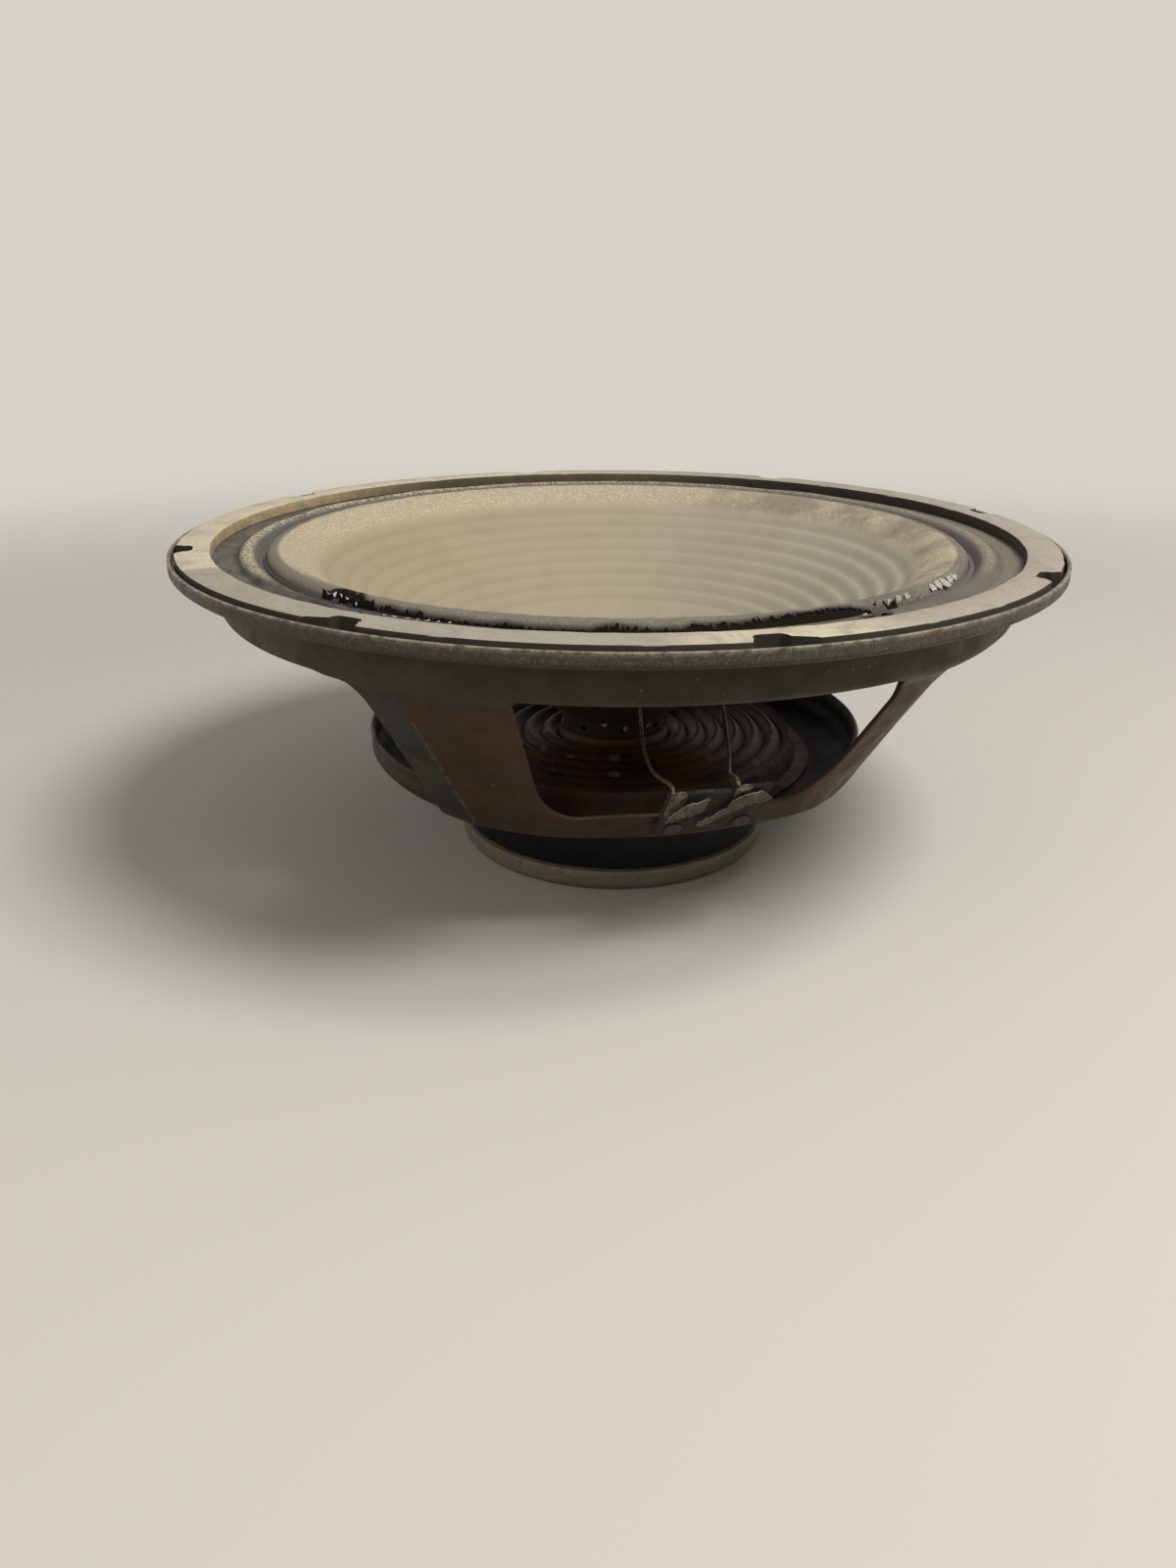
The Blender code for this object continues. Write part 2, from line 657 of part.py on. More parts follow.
def make_spider(material):
    """Collar on the coil former, rolled folds, then a step down to the glued landing."""
    middle = spider_middle
    collar = former_outer_radius + clearance + spider_cloth / 2
    half = spider_fold_depth / 2
    line = [(collar, middle + spider_collar), (collar, middle + half),
            (spider_first_fold - spider_fold_pitch / 2, middle - half)]
    for index in range(spider_fold_count):
        crest = spider_first_fold + spider_fold_pitch * index
        line.append((crest, middle + half))
        line.append((crest + spider_fold_pitch / 2, middle - half))
    shoulder = spider_shoulder_radius
    landing = floor_top + clearance + spider_cloth / 2
    foot = shoulder + spider_step_width
    line += [(shoulder, middle + half), (foot - 0.001, middle - 0.001), (foot - 0.0006, landing + 0.0005),
             (foot, landing), (spider_outer_radius, landing)]
    return add_object("spider", turned(sheet_outline(line, spider_cloth)), material)


# ---- Terminal board and leads -------------------------------------------------------------
def board_matrix():
    """X along the sill, Y up the dish's sloping wall, Z out of it; origin on the sill."""
    lean = math.atan(leg_slope)
    outward = polar(1, board_azimuth, 0)
    along = polar(1, board_azimuth + 90, 0)
    upward = outward * math.sin(lean) + Vector((0, 0, math.cos(lean)))
    matrix = Matrix((along, upward, along.cross(upward))).transposed().to_4x4()
    matrix.translation = polar(sill_radius, board_azimuth, sill_height)
    return matrix


def board_rivet_places():
    for side in (-1, 1):
        yield board_matrix() @ Matrix.Translation((side * board_rivet_spread, -board_rivet_drop, 0))


def make_plate(name, outline, low, thickness, material, parent):
    shape = prism(outline, low, low + thickness, lambda x, y, z: Vector((x, y, z)))
    return add_object(name, shape, material, parent)


def rectangle(left, right, bottom, top):
    return [(left, bottom), (right, bottom), (right, top), (left, top)]


def make_terminal_board(fibre, tinned, rivet_steel, cloth, frame):
    face = clearance + board_thickness
    half = board_width / 2
    board = make_plate("terminal_board", rectangle(-half, half, -board_below_sill, board_above_sill),
                       clearance, board_thickness, fibre, frame)
    spots = [Matrix.Translation((side * board_rivet_spread, -board_rivet_drop, 0)) for side in (-1, 1)]
    cut(board, [rod(board_rivet_radius + clearance, 0, face + 0.001, spot) for spot in spots])
    wall_drop = (board_rivet_spread + board_rivet_head) ** 2 / (2 * sill_radius) + basket_wall
    tail = -(wall_drop + clearance)
    for side, spot in zip(("left", "right"), spots):
        levels = (tail - board_rivet_head_height, tail, face + clearance,
                  face + clearance + board_rivet_head_height)
        add_object(f"board_rivet_{side}", rivet(board_rivet_radius, board_rivet_head, levels, spot),
                   rivet_steel, frame)
    for side, x in (("left", lug_left), ("right", lug_right)):
        outline = rectangle(x - lug_width / 2, x + lug_width / 2, board_above_sill - lug_below_edge,
                            board_above_sill + lug_above_board)
        make_plate(f"lug_{side}", outline, face + clearance, lug_thickness, tinned, frame)
    make_tape(cloth, face + clearance + lug_thickness + clearance, frame)


def make_tape(cloth, low, frame):
    """Two torn scraps of cloth tape, as (x, y) shares of the board's half width and height."""
    half = board_width / 2
    top = board_above_sill
    left = [(-0.98, 0.26), (-0.80, 0.66), (-0.60, 0.90), (-0.26, 0.96), (-0.30, 0.56), (-0.52, 0.42)]
    right = [(0.22, 0.80), (0.40, 1.0), (0.74, 1.04), (1.02, 0.72), (0.80, 0.60), (0.50, 0.56),
             (0.38, 0.42), (0.03, 0.12), (-0.20, -0.06), (-0.32, -0.02), (-0.28, 0.10), (0.0, 0.34),
             (0.18, 0.58)]
    for name, shares in (("tape_left", left), ("tape_right", right)):
        outline = [(x * half, y * top) for x, y in shares]
        make_plate(name, outline, low, tape_thickness, cloth, frame)


def make_lead(side, azimuth, lug_x, route, material):
    """A braided lead that hangs from its eyelet on the cone's back to the lug's inner face."""
    place = eyelet_matrix(azimuth)
    normal = place.to_3x3().col[2]
    board = board_matrix()
    start = place @ Vector((0, 0, eyelet_tail() - clearance))
    lug_middle = board_above_sill + lug_above_board / 2
    end = board @ Vector((lug_x, lug_middle, board_thickness + clearance))
    arrive = end - board.to_3x3().col[2] * 0.003
    hanging = [polar(*point) for point in route]
    tube(f"lead_{side}", [start, start - normal * 0.003, *hanging, arrive, end], lead_radius, material)


def main():
    for obj in list(bpy.data.objects):
        bpy.data.objects.remove(obj, do_unlink=True)

    steel = principled("zinc_steel", (0.62, 0.58, 0.50), 0.45, 0.8)
    ferrite = principled("ferrite", (0.025, 0.026, 0.026), 0.6)
    lacquer = principled("bronze_lacquer", (0.17, 0.12, 0.08), 0.42, 0.35)
    card = principled("gasket_card", (0.52, 0.47, 0.40), 0.9)
    doped = principled("doped_cloth", (0.10, 0.10, 0.10), 0.85)
    pulp = principled("cone_paper", (0.46, 0.39, 0.28), 0.9)
    cap = principled("cap_paper", (0.34, 0.29, 0.22), 0.85)
    resin = principled("resin_cloth", (0.12, 0.05, 0.03), 0.65)
    foil = principled("former_paper", (0.45, 0.30, 0.16), 0.6)
    copper = principled("enamelled_copper", (0.45, 0.18, 0.08), 0.4, 0.9)
    brass = principled("eyelet_brass", (0.55, 0.42, 0.20), 0.4, 1.0)
    fibre = principled("fibre_board", (0.07, 0.06, 0.05), 0.7)
    tinned = principled("tinned_brass", (0.60, 0.58, 0.52), 0.3, 1.0)
    rivet_steel = principled("rivet_steel", (0.40, 0.38, 0.35), 0.4, 1.0)
    cloth = principled("tape_cloth", (0.42, 0.39, 0.31), 0.95)
    braid = principled("tinsel_braid", (0.40, 0.32, 0.22), 0.5, 0.6)

    make_magnet_system(steel, ferrite, rivet_steel)
    make_basket(lacquer)
    make_gasket(card)
    make_surround(doped)
    make_spider(resin)
    carriage = add_empty("cone_travel", Matrix.Identity(4))
    make_cone_assembly(pulp, cap, foil, copper, brass, carriage)
    frame = add_empty("board_frame", board_matrix())
    make_terminal_board(fibre, tinned, rivet_steel, cloth, frame)
    make_lead("left", eyelet_left_azimuth, lug_left, lead_left_route, braid)
    make_lead("right", eyelet_right_azimuth, lug_right, lead_right_route, braid)
    bpy.context.view_layer.update()


main()
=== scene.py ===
import json
import math

import bmesh
import bpy
import numpy as np
from mathutils import Matrix, Vector, geometry, noise

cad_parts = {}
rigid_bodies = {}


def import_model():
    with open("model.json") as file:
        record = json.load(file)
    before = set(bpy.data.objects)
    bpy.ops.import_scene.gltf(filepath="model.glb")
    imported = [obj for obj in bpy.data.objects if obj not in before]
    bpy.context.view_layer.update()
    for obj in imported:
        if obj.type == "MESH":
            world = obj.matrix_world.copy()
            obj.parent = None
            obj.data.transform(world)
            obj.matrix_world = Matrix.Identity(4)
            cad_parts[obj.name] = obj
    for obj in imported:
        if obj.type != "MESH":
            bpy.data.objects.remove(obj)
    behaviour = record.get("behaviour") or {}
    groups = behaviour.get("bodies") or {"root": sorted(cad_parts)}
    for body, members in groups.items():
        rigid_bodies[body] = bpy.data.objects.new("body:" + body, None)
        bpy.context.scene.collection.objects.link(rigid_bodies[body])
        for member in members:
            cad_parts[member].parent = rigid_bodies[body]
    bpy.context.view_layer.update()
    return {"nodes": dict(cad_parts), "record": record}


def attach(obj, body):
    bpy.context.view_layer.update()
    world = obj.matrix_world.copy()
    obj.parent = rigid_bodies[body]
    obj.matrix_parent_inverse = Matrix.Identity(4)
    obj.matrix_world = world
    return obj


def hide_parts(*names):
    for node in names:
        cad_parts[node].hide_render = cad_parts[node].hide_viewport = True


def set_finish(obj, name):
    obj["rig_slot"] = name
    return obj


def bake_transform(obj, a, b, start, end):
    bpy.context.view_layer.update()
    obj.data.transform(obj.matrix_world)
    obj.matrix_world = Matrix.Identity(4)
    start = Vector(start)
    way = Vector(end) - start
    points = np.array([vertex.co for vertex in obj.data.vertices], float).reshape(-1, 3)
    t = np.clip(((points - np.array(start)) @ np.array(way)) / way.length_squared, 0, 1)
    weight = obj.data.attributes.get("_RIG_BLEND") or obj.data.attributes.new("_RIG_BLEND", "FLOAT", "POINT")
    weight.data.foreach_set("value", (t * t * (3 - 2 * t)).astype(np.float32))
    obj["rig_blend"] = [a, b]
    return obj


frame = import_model()

# Metres, +Z up, the speaker's axis is Z. Azimuths run in degrees from the front (-Y) to the right.
print("setting up the camera")

cameraView = dict(distance=0.4294, height=0.1965, pitch=22.69, roll=0.23, yaw=-1.30, lens=27.0,
                  sensorHeight=36.0)


def makeCamera():
    pitch, roll, yaw = (math.radians(cameraView[key]) for key in ("pitch", "roll", "yaw"))
    ahead = Vector((math.sin(yaw) * math.cos(pitch), math.cos(yaw) * math.cos(pitch), -math.sin(pitch)))
    level = Vector((math.cos(yaw), -math.sin(yaw), 0))
    upright = level.cross(ahead)
    across = math.cos(roll) * level + math.sin(roll) * upright
    up = math.cos(roll) * upright - math.sin(roll) * level
    lens = bpy.data.cameras.new("photoCamera")
    lens.sensor_fit = "VERTICAL"
    lens.sensor_height = cameraView["sensorHeight"]
    lens.lens = cameraView["lens"]
    lens.clip_start = 0.01
    camera = bpy.data.objects.new("photoCamera", lens)
    bpy.context.scene.collection.objects.link(camera)
    placing = Matrix((across, up, -ahead)).transposed().to_4x4()
    placing.translation = (0, -cameraView["distance"], cameraView["height"])
    camera.matrix_world = placing
    bpy.context.scene.camera = camera


makeCamera()


# shape helpers
sharpEdge = 40  # degrees past which an edge stays sharp
mergeGap = 0.000005  # points closer than this become one
tiny = 1e-9


def polar(radius, azimuth, height):
    angle = math.radians(azimuth)
    return Vector((radius * math.sin(angle), -radius * math.cos(angle), height))


def azimuthOf(point):
    return math.degrees(math.atan2(point.x, -point.y))


def share(value):
    return min(1.0, max(0.0, value))


def ease(value):
    value = share(value)
    return value * value * (3 - 2 * value)


def smoothLine(points, step):
    # Catmull-Rom through the points, sampled about every step metres
    line = [Vector(point) for point in points]
    ends = [line[0] * 2 - line[1], *line, line[-1] * 2 - line[-2]]
    made = []
    for a, b, c, d in zip(ends, ends[1:], ends[2:], ends[3:]):
        count = max(1, round((c - b).length / step))
        for index in range(count):
            t = index / count
            made.append(0.5 * (2 * b + (c - a) * t + (2 * a - 5 * b + 4 * c - d) * t ** 2
                               + (3 * b - 3 * c + d - a) * t ** 3))
    return made + [line[-1]]


def roundedLine(points, radius, steps=4):
    # straight runs with each corner rounded off
    line = [Vector(point) for point in points]
    made = [line[0]]
    for before, corner, after in zip(line, line[1:], line[2:]):
        reach = min(radius, (corner - before).length * 0.45, (after - corner).length * 0.45)
        first = corner + (before - corner).normalized() * reach
        last = corner + (after - corner).normalized() * reach
        for index in range(steps + 1):
            t = index / steps
            made.append(first.lerp(corner, t).lerp(corner.lerp(last, t), t))
    return made + [line[-1]]


def spread(points, step):
    # adds points along the straight runs
    made = []
    for a, b in zip(points, points[1:]):
        count = max(1, round((b - a).length / step))
        made += [a.lerp(b, index / count) for index in range(count)]
    return made + [points[-1]]


def sheetSection(line, wall, side=0.0):
    across = [Vector((-(b - a).y, (b - a).x)).normalized() for a, b in zip(line, line[1:])]
    first, second = [], []
    for index, point in enumerate(line):
        before = across[max(index - 1, 0)]
        after = across[min(index, len(across) - 1)]
        normal = (before + after) / (1 + before.dot(after))
        first.append(point + normal * wall * (side + 1) / 2)
        second.append(point + normal * wall * (side - 1) / 2)
    return first + second[::-1]


def spun(section, segments, start=0.0, sweep=360.0, closed=True):
    # turns a (radius, height) line round the axis
    shape = bmesh.new()
    ring = [shape.verts.new(polar(point[0], start, point[1])) for point in section]
    edges = [shape.edges.new(pair) for pair in zip(ring, ring[1:])]
    if closed:
        edges.append(shape.edges.new((ring[-1], ring[0])))
    full = sweep == 360.0
    turn = bmesh.ops.spin(shape, geom=ring + edges, cent=(0, 0, 0), axis=(0, 0, 1), dvec=(0, 0, 0),
                          angle=math.radians(sweep), steps=segments, use_merge=full)
    if closed and not full:
        shape.faces.new(ring)
        shape.faces.new([item for item in turn["geom_last"] if isinstance(item, bmesh.types.BMVert)])
    bmesh.ops.remove_doubles(shape, verts=shape.verts, dist=mergeGap)
    return shape


def roundBar(radius, low, high, sides):
    shape = bmesh.new()
    bmesh.ops.create_cone(shape, cap_ends=True, segments=sides, radius1=radius, radius2=radius,
                          depth=high - low, matrix=Matrix.Translation((0, 0, (low + high) / 2)))
    return shape


def plate(outline, low, high):
    # an outline of (x, y) points pulled up into a plate
    shape = bmesh.new()
    face = shape.faces.new([shape.verts.new((x, y, low)) for x, y in outline])
    pulled = bmesh.ops.extrude_face_region(shape, geom=[face], use_keep_orig=True)
    top = [item for item in pulled["geom"] if isinstance(item, bmesh.types.BMVert)]
    bmesh.ops.translate(shape, verts=top, vec=(0, 0, high - low))
    bmesh.ops.recalc_face_normals(shape, faces=shape.faces)
    return shape


def bevelEdges(shape, edges, width):
    bmesh.ops.bevel(shape, geom=edges, offset=width, offset_type="OFFSET", segments=2, profile=0.5,
                    affect="EDGES", material=-1, clamp_overlap=True)


def bevelled(shape, width):
    sharp = [edge for edge in shape.edges
             if len(edge.link_faces) == 2 and edge.calc_face_angle(0) > math.radians(sharpEdge)]
    bevelEdges(shape, sharp, width)
    return shape


def joined(shapes):
    whole = bmesh.new()
    for shape in shapes:
        mesh = bpy.data.meshes.new("part")
        shape.to_mesh(mesh)
        shape.free()
        whole.from_mesh(mesh)
        bpy.data.meshes.remove(mesh)
    return whole


def placed(shape, matrix):
    bmesh.ops.transform(shape, matrix=matrix, verts=shape.verts)
    return shape


def smoothFaces(mesh, sharpAngle):
    mesh.shade_smooth()
    mesh.set_sharp_from_angle(angle=math.radians(sharpAngle))


def makeObject(name, shape, material=None, sharpAngle=sharpEdge):
    bmesh.ops.recalc_face_normals(shape, faces=shape.faces)
    mesh = bpy.data.meshes.new(name)
    shape.to_mesh(mesh)
    shape.free()
    smoothFaces(mesh, sharpAngle)
    piece = bpy.data.objects.new(name, mesh)
    bpy.context.scene.collection.objects.link(piece)
    if material:
        mesh.materials.append(material)
    return piece


def cutAway(piece, shapes):
    # takes the shapes out of the piece
    cutter = makeObject(piece.name + "Cutter", joined(shapes))
    boolean = piece.modifiers.new("cut", "BOOLEAN")
    boolean.operation = "DIFFERENCE"
    boolean.solver = "EXACT"
    boolean.object = cutter
    bpy.context.view_layer.update()
    graph = bpy.context.evaluated_depsgraph_get()
    mesh = bpy.data.meshes.new_from_object(piece.evaluated_get(graph))
    piece.modifiers.clear()
    piece.data = mesh
    mesh.name = piece.name
    smoothFaces(mesh, sharpEdge)
    bpy.data.objects.remove(cutter, do_unlink=True)


def paint(piece, name, rule):
    # a value for each point, from its place and its normal
    mesh = piece.data
    layer = mesh.attributes.get(name) or mesh.attributes.new(name, "FLOAT", "POINT")
    values = [rule(vert.co, vert.normal) for vert in mesh.vertices]
    layer.data.foreach_set("value", np.array(values, np.float32))


def finish(piece, slotName, body, *nodes):
    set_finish(piece, slotName)
    if nodes:
        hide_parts(*nodes)
    if body:
        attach(piece, body)
    return piece


def bendRound(piece, fixedRadius, movingRadius):
    # bends between the frame and the cone: the share of the travel follows the radius
    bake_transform(piece, "frame", "cone_assembly", polar(fixedRadius, 0, 0), polar(movingRadius, 0, 0))
    radii = np.array([vert.co.xy.length for vert in piece.data.vertices])
    t = np.clip((fixedRadius - radii) / (fixedRadius - movingRadius), 0, 1)
    weights = (t * t * (3 - 2 * t)).astype(np.float32)
    piece.data.attributes["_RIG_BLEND"].data.foreach_set("value", weights)


def tubeAlong(points, radius, sides):
    # a mesh tube along the points, with a UV of length and turn for its braid
    shape = bmesh.new()
    layer = shape.loops.layers.uv.new("UVMap")
    rings, lengths, total = [], [], 0.0
    side = None
    for index, point in enumerate(points):
        ahead = points[min(index + 1, len(points) - 1)] - points[max(index - 1, 0)]
        ahead.normalize()
        side = ahead.orthogonal() if side is None else side - ahead * side.dot(ahead)
        side.normalize()
        other = ahead.cross(side)
        if index:
            total += (point - points[index - 1]).length
        lengths.append(total)
        ring = []
        for step in range(sides):
            turn = 2 * math.pi * step / sides
            out = side * math.cos(turn) + other * math.sin(turn)
            ring.append(shape.verts.new(point + out * radius))
        rings.append(ring)
    for index, (ring, after) in enumerate(zip(rings, rings[1:])):
        for step in range(sides):
            following = (step + 1) % sides
            face = shape.faces.new((ring[step], ring[following], after[following], after[step]))
            spots = ((lengths[index], step), (lengths[index], step + 1), (lengths[index + 1], step + 1),
                     (lengths[index + 1], step))
            for loop, (along, around) in zip(face.loops, spots):
                loop[layer].uv = (along / (2 * math.pi * radius), around / sides)
    shape.faces.new(rings[0][::-1])
    shape.faces.new(rings[-1])
    return shape


def cutNet(start, columns, stations, holes, keepClear):
    # triangles over (azimuth, station), with the outlines in holes left open
    points, edges = [], []
    flat = [[((a - start) * keepClear[0], s) for a, s in hole] for hole in holes]
    for outline in flat:
        first = len(points)
        points += outline
        edges += [(first + i, first + (i + 1) % len(outline)) for i in range(len(outline))]
    rings = [np.array(outline) for outline in flat]

    def near(x, y):
        for ring in rings:
            if (x < ring[:, 0].min() - 2 * keepClear[1] or x > ring[:, 0].max() + 2 * keepClear[1]
                    or y < ring[:, 1].min() - 2 * keepClear[1] or y > ring[:, 1].max() + 2 * keepClear[1]):
                continue
            if inRing(ring, x, y):
                return True
            after = np.roll(ring, -1, axis=0)
            run = after - ring
            t = np.clip(((x - ring[:, 0]) * run[:, 0] + (y - ring[:, 1]) * run[:, 1])
                        / (run ** 2).sum(axis=1), 0, 1)
            gap = np.hypot(ring[:, 0] + run[:, 0] * t - x, ring[:, 1] + run[:, 1] * t - y)
            if gap.min() < keepClear[1]:
                return True
        return False

    for azimuth, whole in columns:
        rows = stations if whole else stations[1:-1]
        for station in rows:
            x = (azimuth - start) * keepClear[0]
            if not near(x, station):
                points.append((x, station))
    verts, _, faces, *_ = geometry.delaunay_2d_cdt([Vector(p) for p in points], edges, [], 0, tiny)
    kept = []
    for face in faces:
        middle = sum((verts[i] for i in face), Vector((0, 0))) / len(face)
        if not any(inRing(ring, middle.x, middle.y) for ring in rings):
            kept.append(face)
    return [(p.x / keepClear[0] + start, p.y) for p in verts], kept


def inRing(ring, x, y):
    # whether the point lies inside the outline
    after = np.roll(ring, -1, axis=0)
    crosses = (ring[:, 1] > y) != (after[:, 1] > y)
    with np.errstate(divide="ignore", invalid="ignore"):
        edge = (after[:, 0] - ring[:, 0]) * (y - ring[:, 1]) / (after[:, 1] - ring[:, 1]) + ring[:, 0]
    return bool(np.count_nonzero(crosses & (x < edge)) % 2)


def skinPair(nets, place, rimWidth=0.0, keepLayers=False):
    # two skins over the same net, joined along every open edge
    shape = bmesh.new()
    turnLayer = shape.verts.layers.float.new("azimuth")
    stationLayer = shape.verts.layers.float.new("station")
    for (spots, faces), turns in nets:
        for turn in turns:
            verts = []
            for azimuth, station in spots:
                vert = shape.verts.new(place(azimuth + turn, station, 0))
                vert[turnLayer] = azimuth + turn
                vert[stationLayer] = station
                verts.append(vert)
            for face in faces:
                shape.faces.new([verts[i] for i in face])
    bmesh.ops.remove_doubles(shape, verts=shape.verts, dist=0.000004)
    firsts = list(shape.verts)
    faces = list(shape.faces)
    openEdges = [edge for edge in shape.edges if edge.is_boundary]
    partner = {vert: shape.verts.new(place(vert[turnLayer], vert[stationLayer], 1)) for vert in firsts}
    for face in faces:
        shape.faces.new([partner[vert] for vert in reversed(face.verts)])
    rims = []
    for edge in openEdges:
        a, b = edge.verts
        shape.faces.new((a, b, partner[b], partner[a]))
        rims += [edge, shape.edges.get((partner[a], partner[b]))]
    bmesh.ops.recalc_face_normals(shape, faces=shape.faces)
    if rimWidth:
        bevelEdges(shape, rims, rimWidth)
    if keepLayers:
        for vert, other in partner.items():
            other[turnLayer] = vert[turnLayer]
            other[stationLayer] = vert[stationLayer]
        return shape
    shape.verts.layers.float.remove(turnLayer)
    shape.verts.layers.float.remove(stationLayer)
    return shape


class Section:
    # a bent sheet's line in (radius, height), looked up by the length along it
    def __init__(self, points, rounding, step, wall, side):
        line = spread(roundedLine(points, rounding), step)
        both = sheetSection(line, wall, side)
        count = len(line)
        self.first = np.array([tuple(p) for p in both[:count]])
        self.second = np.array([tuple(p) for p in both[count:][::-1]])
        gaps = [0.0] + [(b - a).length for a, b in zip(line, line[1:])]
        self.stations = np.cumsum(gaps)

    def at(self, station, side):
        skin = self.second if side == 0 else self.first
        return (float(np.interp(station, self.stations, skin[:, 0])),
                float(np.interp(station, self.stations, skin[:, 1])))

    def stationAtHeight(self, height, low, high):
        choice = [i for i, (radius, level) in enumerate(self.second)
                  if low <= level <= high and radius > 0.085]
        return float(np.interp(height, self.second[choice, 1], self.stations[choice]))


print("basket")
basketSizes = dict(
    wall=0.0014, rounding=0.0032, step=0.0016, rimWidth=0.00032,
    line=[(0.027, 0.0318), (0.076, 0.0318), (0.0888, 0.03543), (0.0915, 0.0384), (0.09702, 0.0464),
          (0.1251, 0.0872), (0.13180, 0.09298), (0.13777, 0.09562), (0.140, 0.0980), (0.140, 0.1112),
          (0.1538, 0.1112), (0.155, 0.1124), (0.155, 0.1162)],
    mirror=9.0, spread=36.0, faceLeft=15.0, faceRight=5.5, flank=9.0, legFade=16.0, legRise=0.005,
    tuck=0.0045,
    dishBottom=0.0332, dishRise=0.0052, drumBottom=0.0970, wallTop=0.0872, sill=0.0464,
    frontCorners=[(6.0, 0.012), (9.0, 0.018), (5.0, 0.012), (1.8, 0.003)], sideCorners=[(3.0, 0.005)] * 4,
    boltCircle=0.1493, boltHole=0.0029, firstBolt=16.5, bolts=8)


def legOffset(azimuth):
    # degrees past a leg's ridge towards a side window, and whether it is a right-hand leg
    off = (azimuth - basketSizes["mirror"] + 90) % 180 - 90
    return abs(off) - basketSizes["spread"], off > 0


def legSwell(azimuth, height):
    sizes = basketSizes
    beyond, right = legOffset(azimuth)
    rise = ease((height - sizes["dishBottom"]) / sizes["dishRise"])
    fade = ease((sizes["drumBottom"] + 0.001 - height) / 0.012)
    if beyond < 0:
        face = sizes["faceRight"] if right else sizes["faceLeft"]
        across = (1 + 0.1 * beyond / face) * ease((face + sizes["legFade"] + beyond) / sizes["legFade"])
        return sizes["legRise"] * across * rise * fade
    drop = np.interp(height, [0.044, 0.050, 0.070, 0.085], [0.25, 0.35, 0.62, 0.72])
    across = (1 - drop * share(beyond / sizes["flank"])) * ease((sizes["flank"] + 3 - beyond) / 3)
    inwards = ease((height - 0.0384) / 0.008) * ease((sizes["wallTop"] - height) / 0.03)
    tuck = sizes["tuck"] * inwards * ease((beyond - sizes["flank"]) / 3)
    return sizes["legRise"] * across * rise * fade - tuck


def windowOutline(section, left, right, corners):
    sizes = basketSizes
    top, sill = sizes["drumBottom"] - 0.0004, sizes["sill"]
    outline = []
    places = [(left, sill, 180), (right, sill, 270), (right, top, 0), (left, top, 90)]
    for (azimuth, height, start), (reach, rise) in zip(places, corners):
        middle = azimuth + (reach if azimuth == left else -reach)
        centre = height + (rise if height == sill else -rise)
        count = 14 if rise > 0.006 else 7
        for step in range(count + 1):
            angle = math.radians(start + 90 * step / count)
            outline.append(Vector((middle + reach * math.cos(angle), centre + rise * math.sin(angle))))
    filled = []
    for a, b in zip(outline, outline[1:] + outline[:1]):
        count = max(1, round(math.hypot((b.x - a.x) * 0.0019, b.y - a.y) / 0.0014))
        filled += [a.lerp(b, index / count) for index in range(count)]
    return [(p.x, section.stationAtHeight(p.y, 0.0390, 0.0979)) for p in filled]


def makeBasket():
    sizes = basketSizes
    section = Section(sizes["line"], sizes["rounding"], sizes["step"], sizes["wall"], 1.0)

    def place(azimuth, station, side):
        radius, height = section.at(station, side)
        return polar(radius + legSwell(azimuth, height), azimuth, height)

    start = sizes["mirror"] - sizes["spread"]
    second = sizes["mirror"] + sizes["spread"]
    seamStation = section.stations[int(np.argmin(np.hypot(section.second[:, 0] - 0.140,
                                                          section.second[:, 1] - 0.1030)))]
    lower = [s for s in section.stations if s <= seamStation + tiny]
    upper = [s for s in section.stations if s >= seamStation - tiny]
    columns = [(start + i, True) for i in range(181)]
    for ridge in (start, second, start + 180):
        columns += [(ridge + shift, False) for shift in (-2.5, -1.5, -0.5, -0.25, 0.25, 0.5, 1.5, 2.5)
                    if start < ridge + shift < start + 180]
    windows = [windowOutline(section, start + sizes["faceLeft"], second - sizes["faceRight"],
                             sizes["frontCorners"]),
               windowOutline(section, second + sizes["flank"], start + 180 - sizes["flank"],
                             sizes["sideCorners"])]
    windowNet = cutNet(start, columns, lower, windows, (0.0019, 0.0008))
    # bolt holes through the flange
    flat = [(float(s), r) for s, (r, z) in zip(section.stations, section.second)
            if z < 0.11125 and r > 0.1415]
    boltStation = float(np.interp(sizes["boltCircle"], [r for _, r in flat], [s for s, _ in flat]))
    hole = []
    for index in range(20):
        angle = 2 * math.pi * index / 20
        hole.append((sizes["firstBolt"] + math.degrees(sizes["boltHole"] * math.cos(angle)
                                                       / sizes["boltCircle"]),
                     boltStation + sizes["boltHole"] * math.sin(angle)))
    flangeNet = cutNet(-6, [(-6 + i, True) for i in range(46)], upper, [hole], (0.0026, 0.0006))
    turns = [360 / sizes["bolts"] * i for i in range(sizes["bolts"])]
    shape = skinPair([(windowNet, [0, 180]), (flangeNet, turns)], place, sizes["rimWidth"])
    piece = makeObject("basketShell", shape, sharpAngle=50)
    paint(piece, "flank", basketFlank)
    paint(piece, "inside", basketInsideShade)
    paint(piece, "wear", basketWearAndHighlight)
    return piece


def basketFlank(point, normal):
    # the legs' grey outer flanks
    beyond, _ = legOffset(azimuthOf(point))
    return ease((beyond + 0.3) / 0.7) * ease((0.0985 - point.z) / 0.006)


def basketInsideShade(point, normal):
    # painted shade on the faces that look up or in towards the axis
    level = Vector((normal.x, normal.y, 0)).dot(Vector((point.x, point.y, 0)).normalized())
    facing = normal.z * 0.6 - level * 0.8
    return ease(0.5 + facing * 2) * ease((0.1110 - point.z) / 0.001)


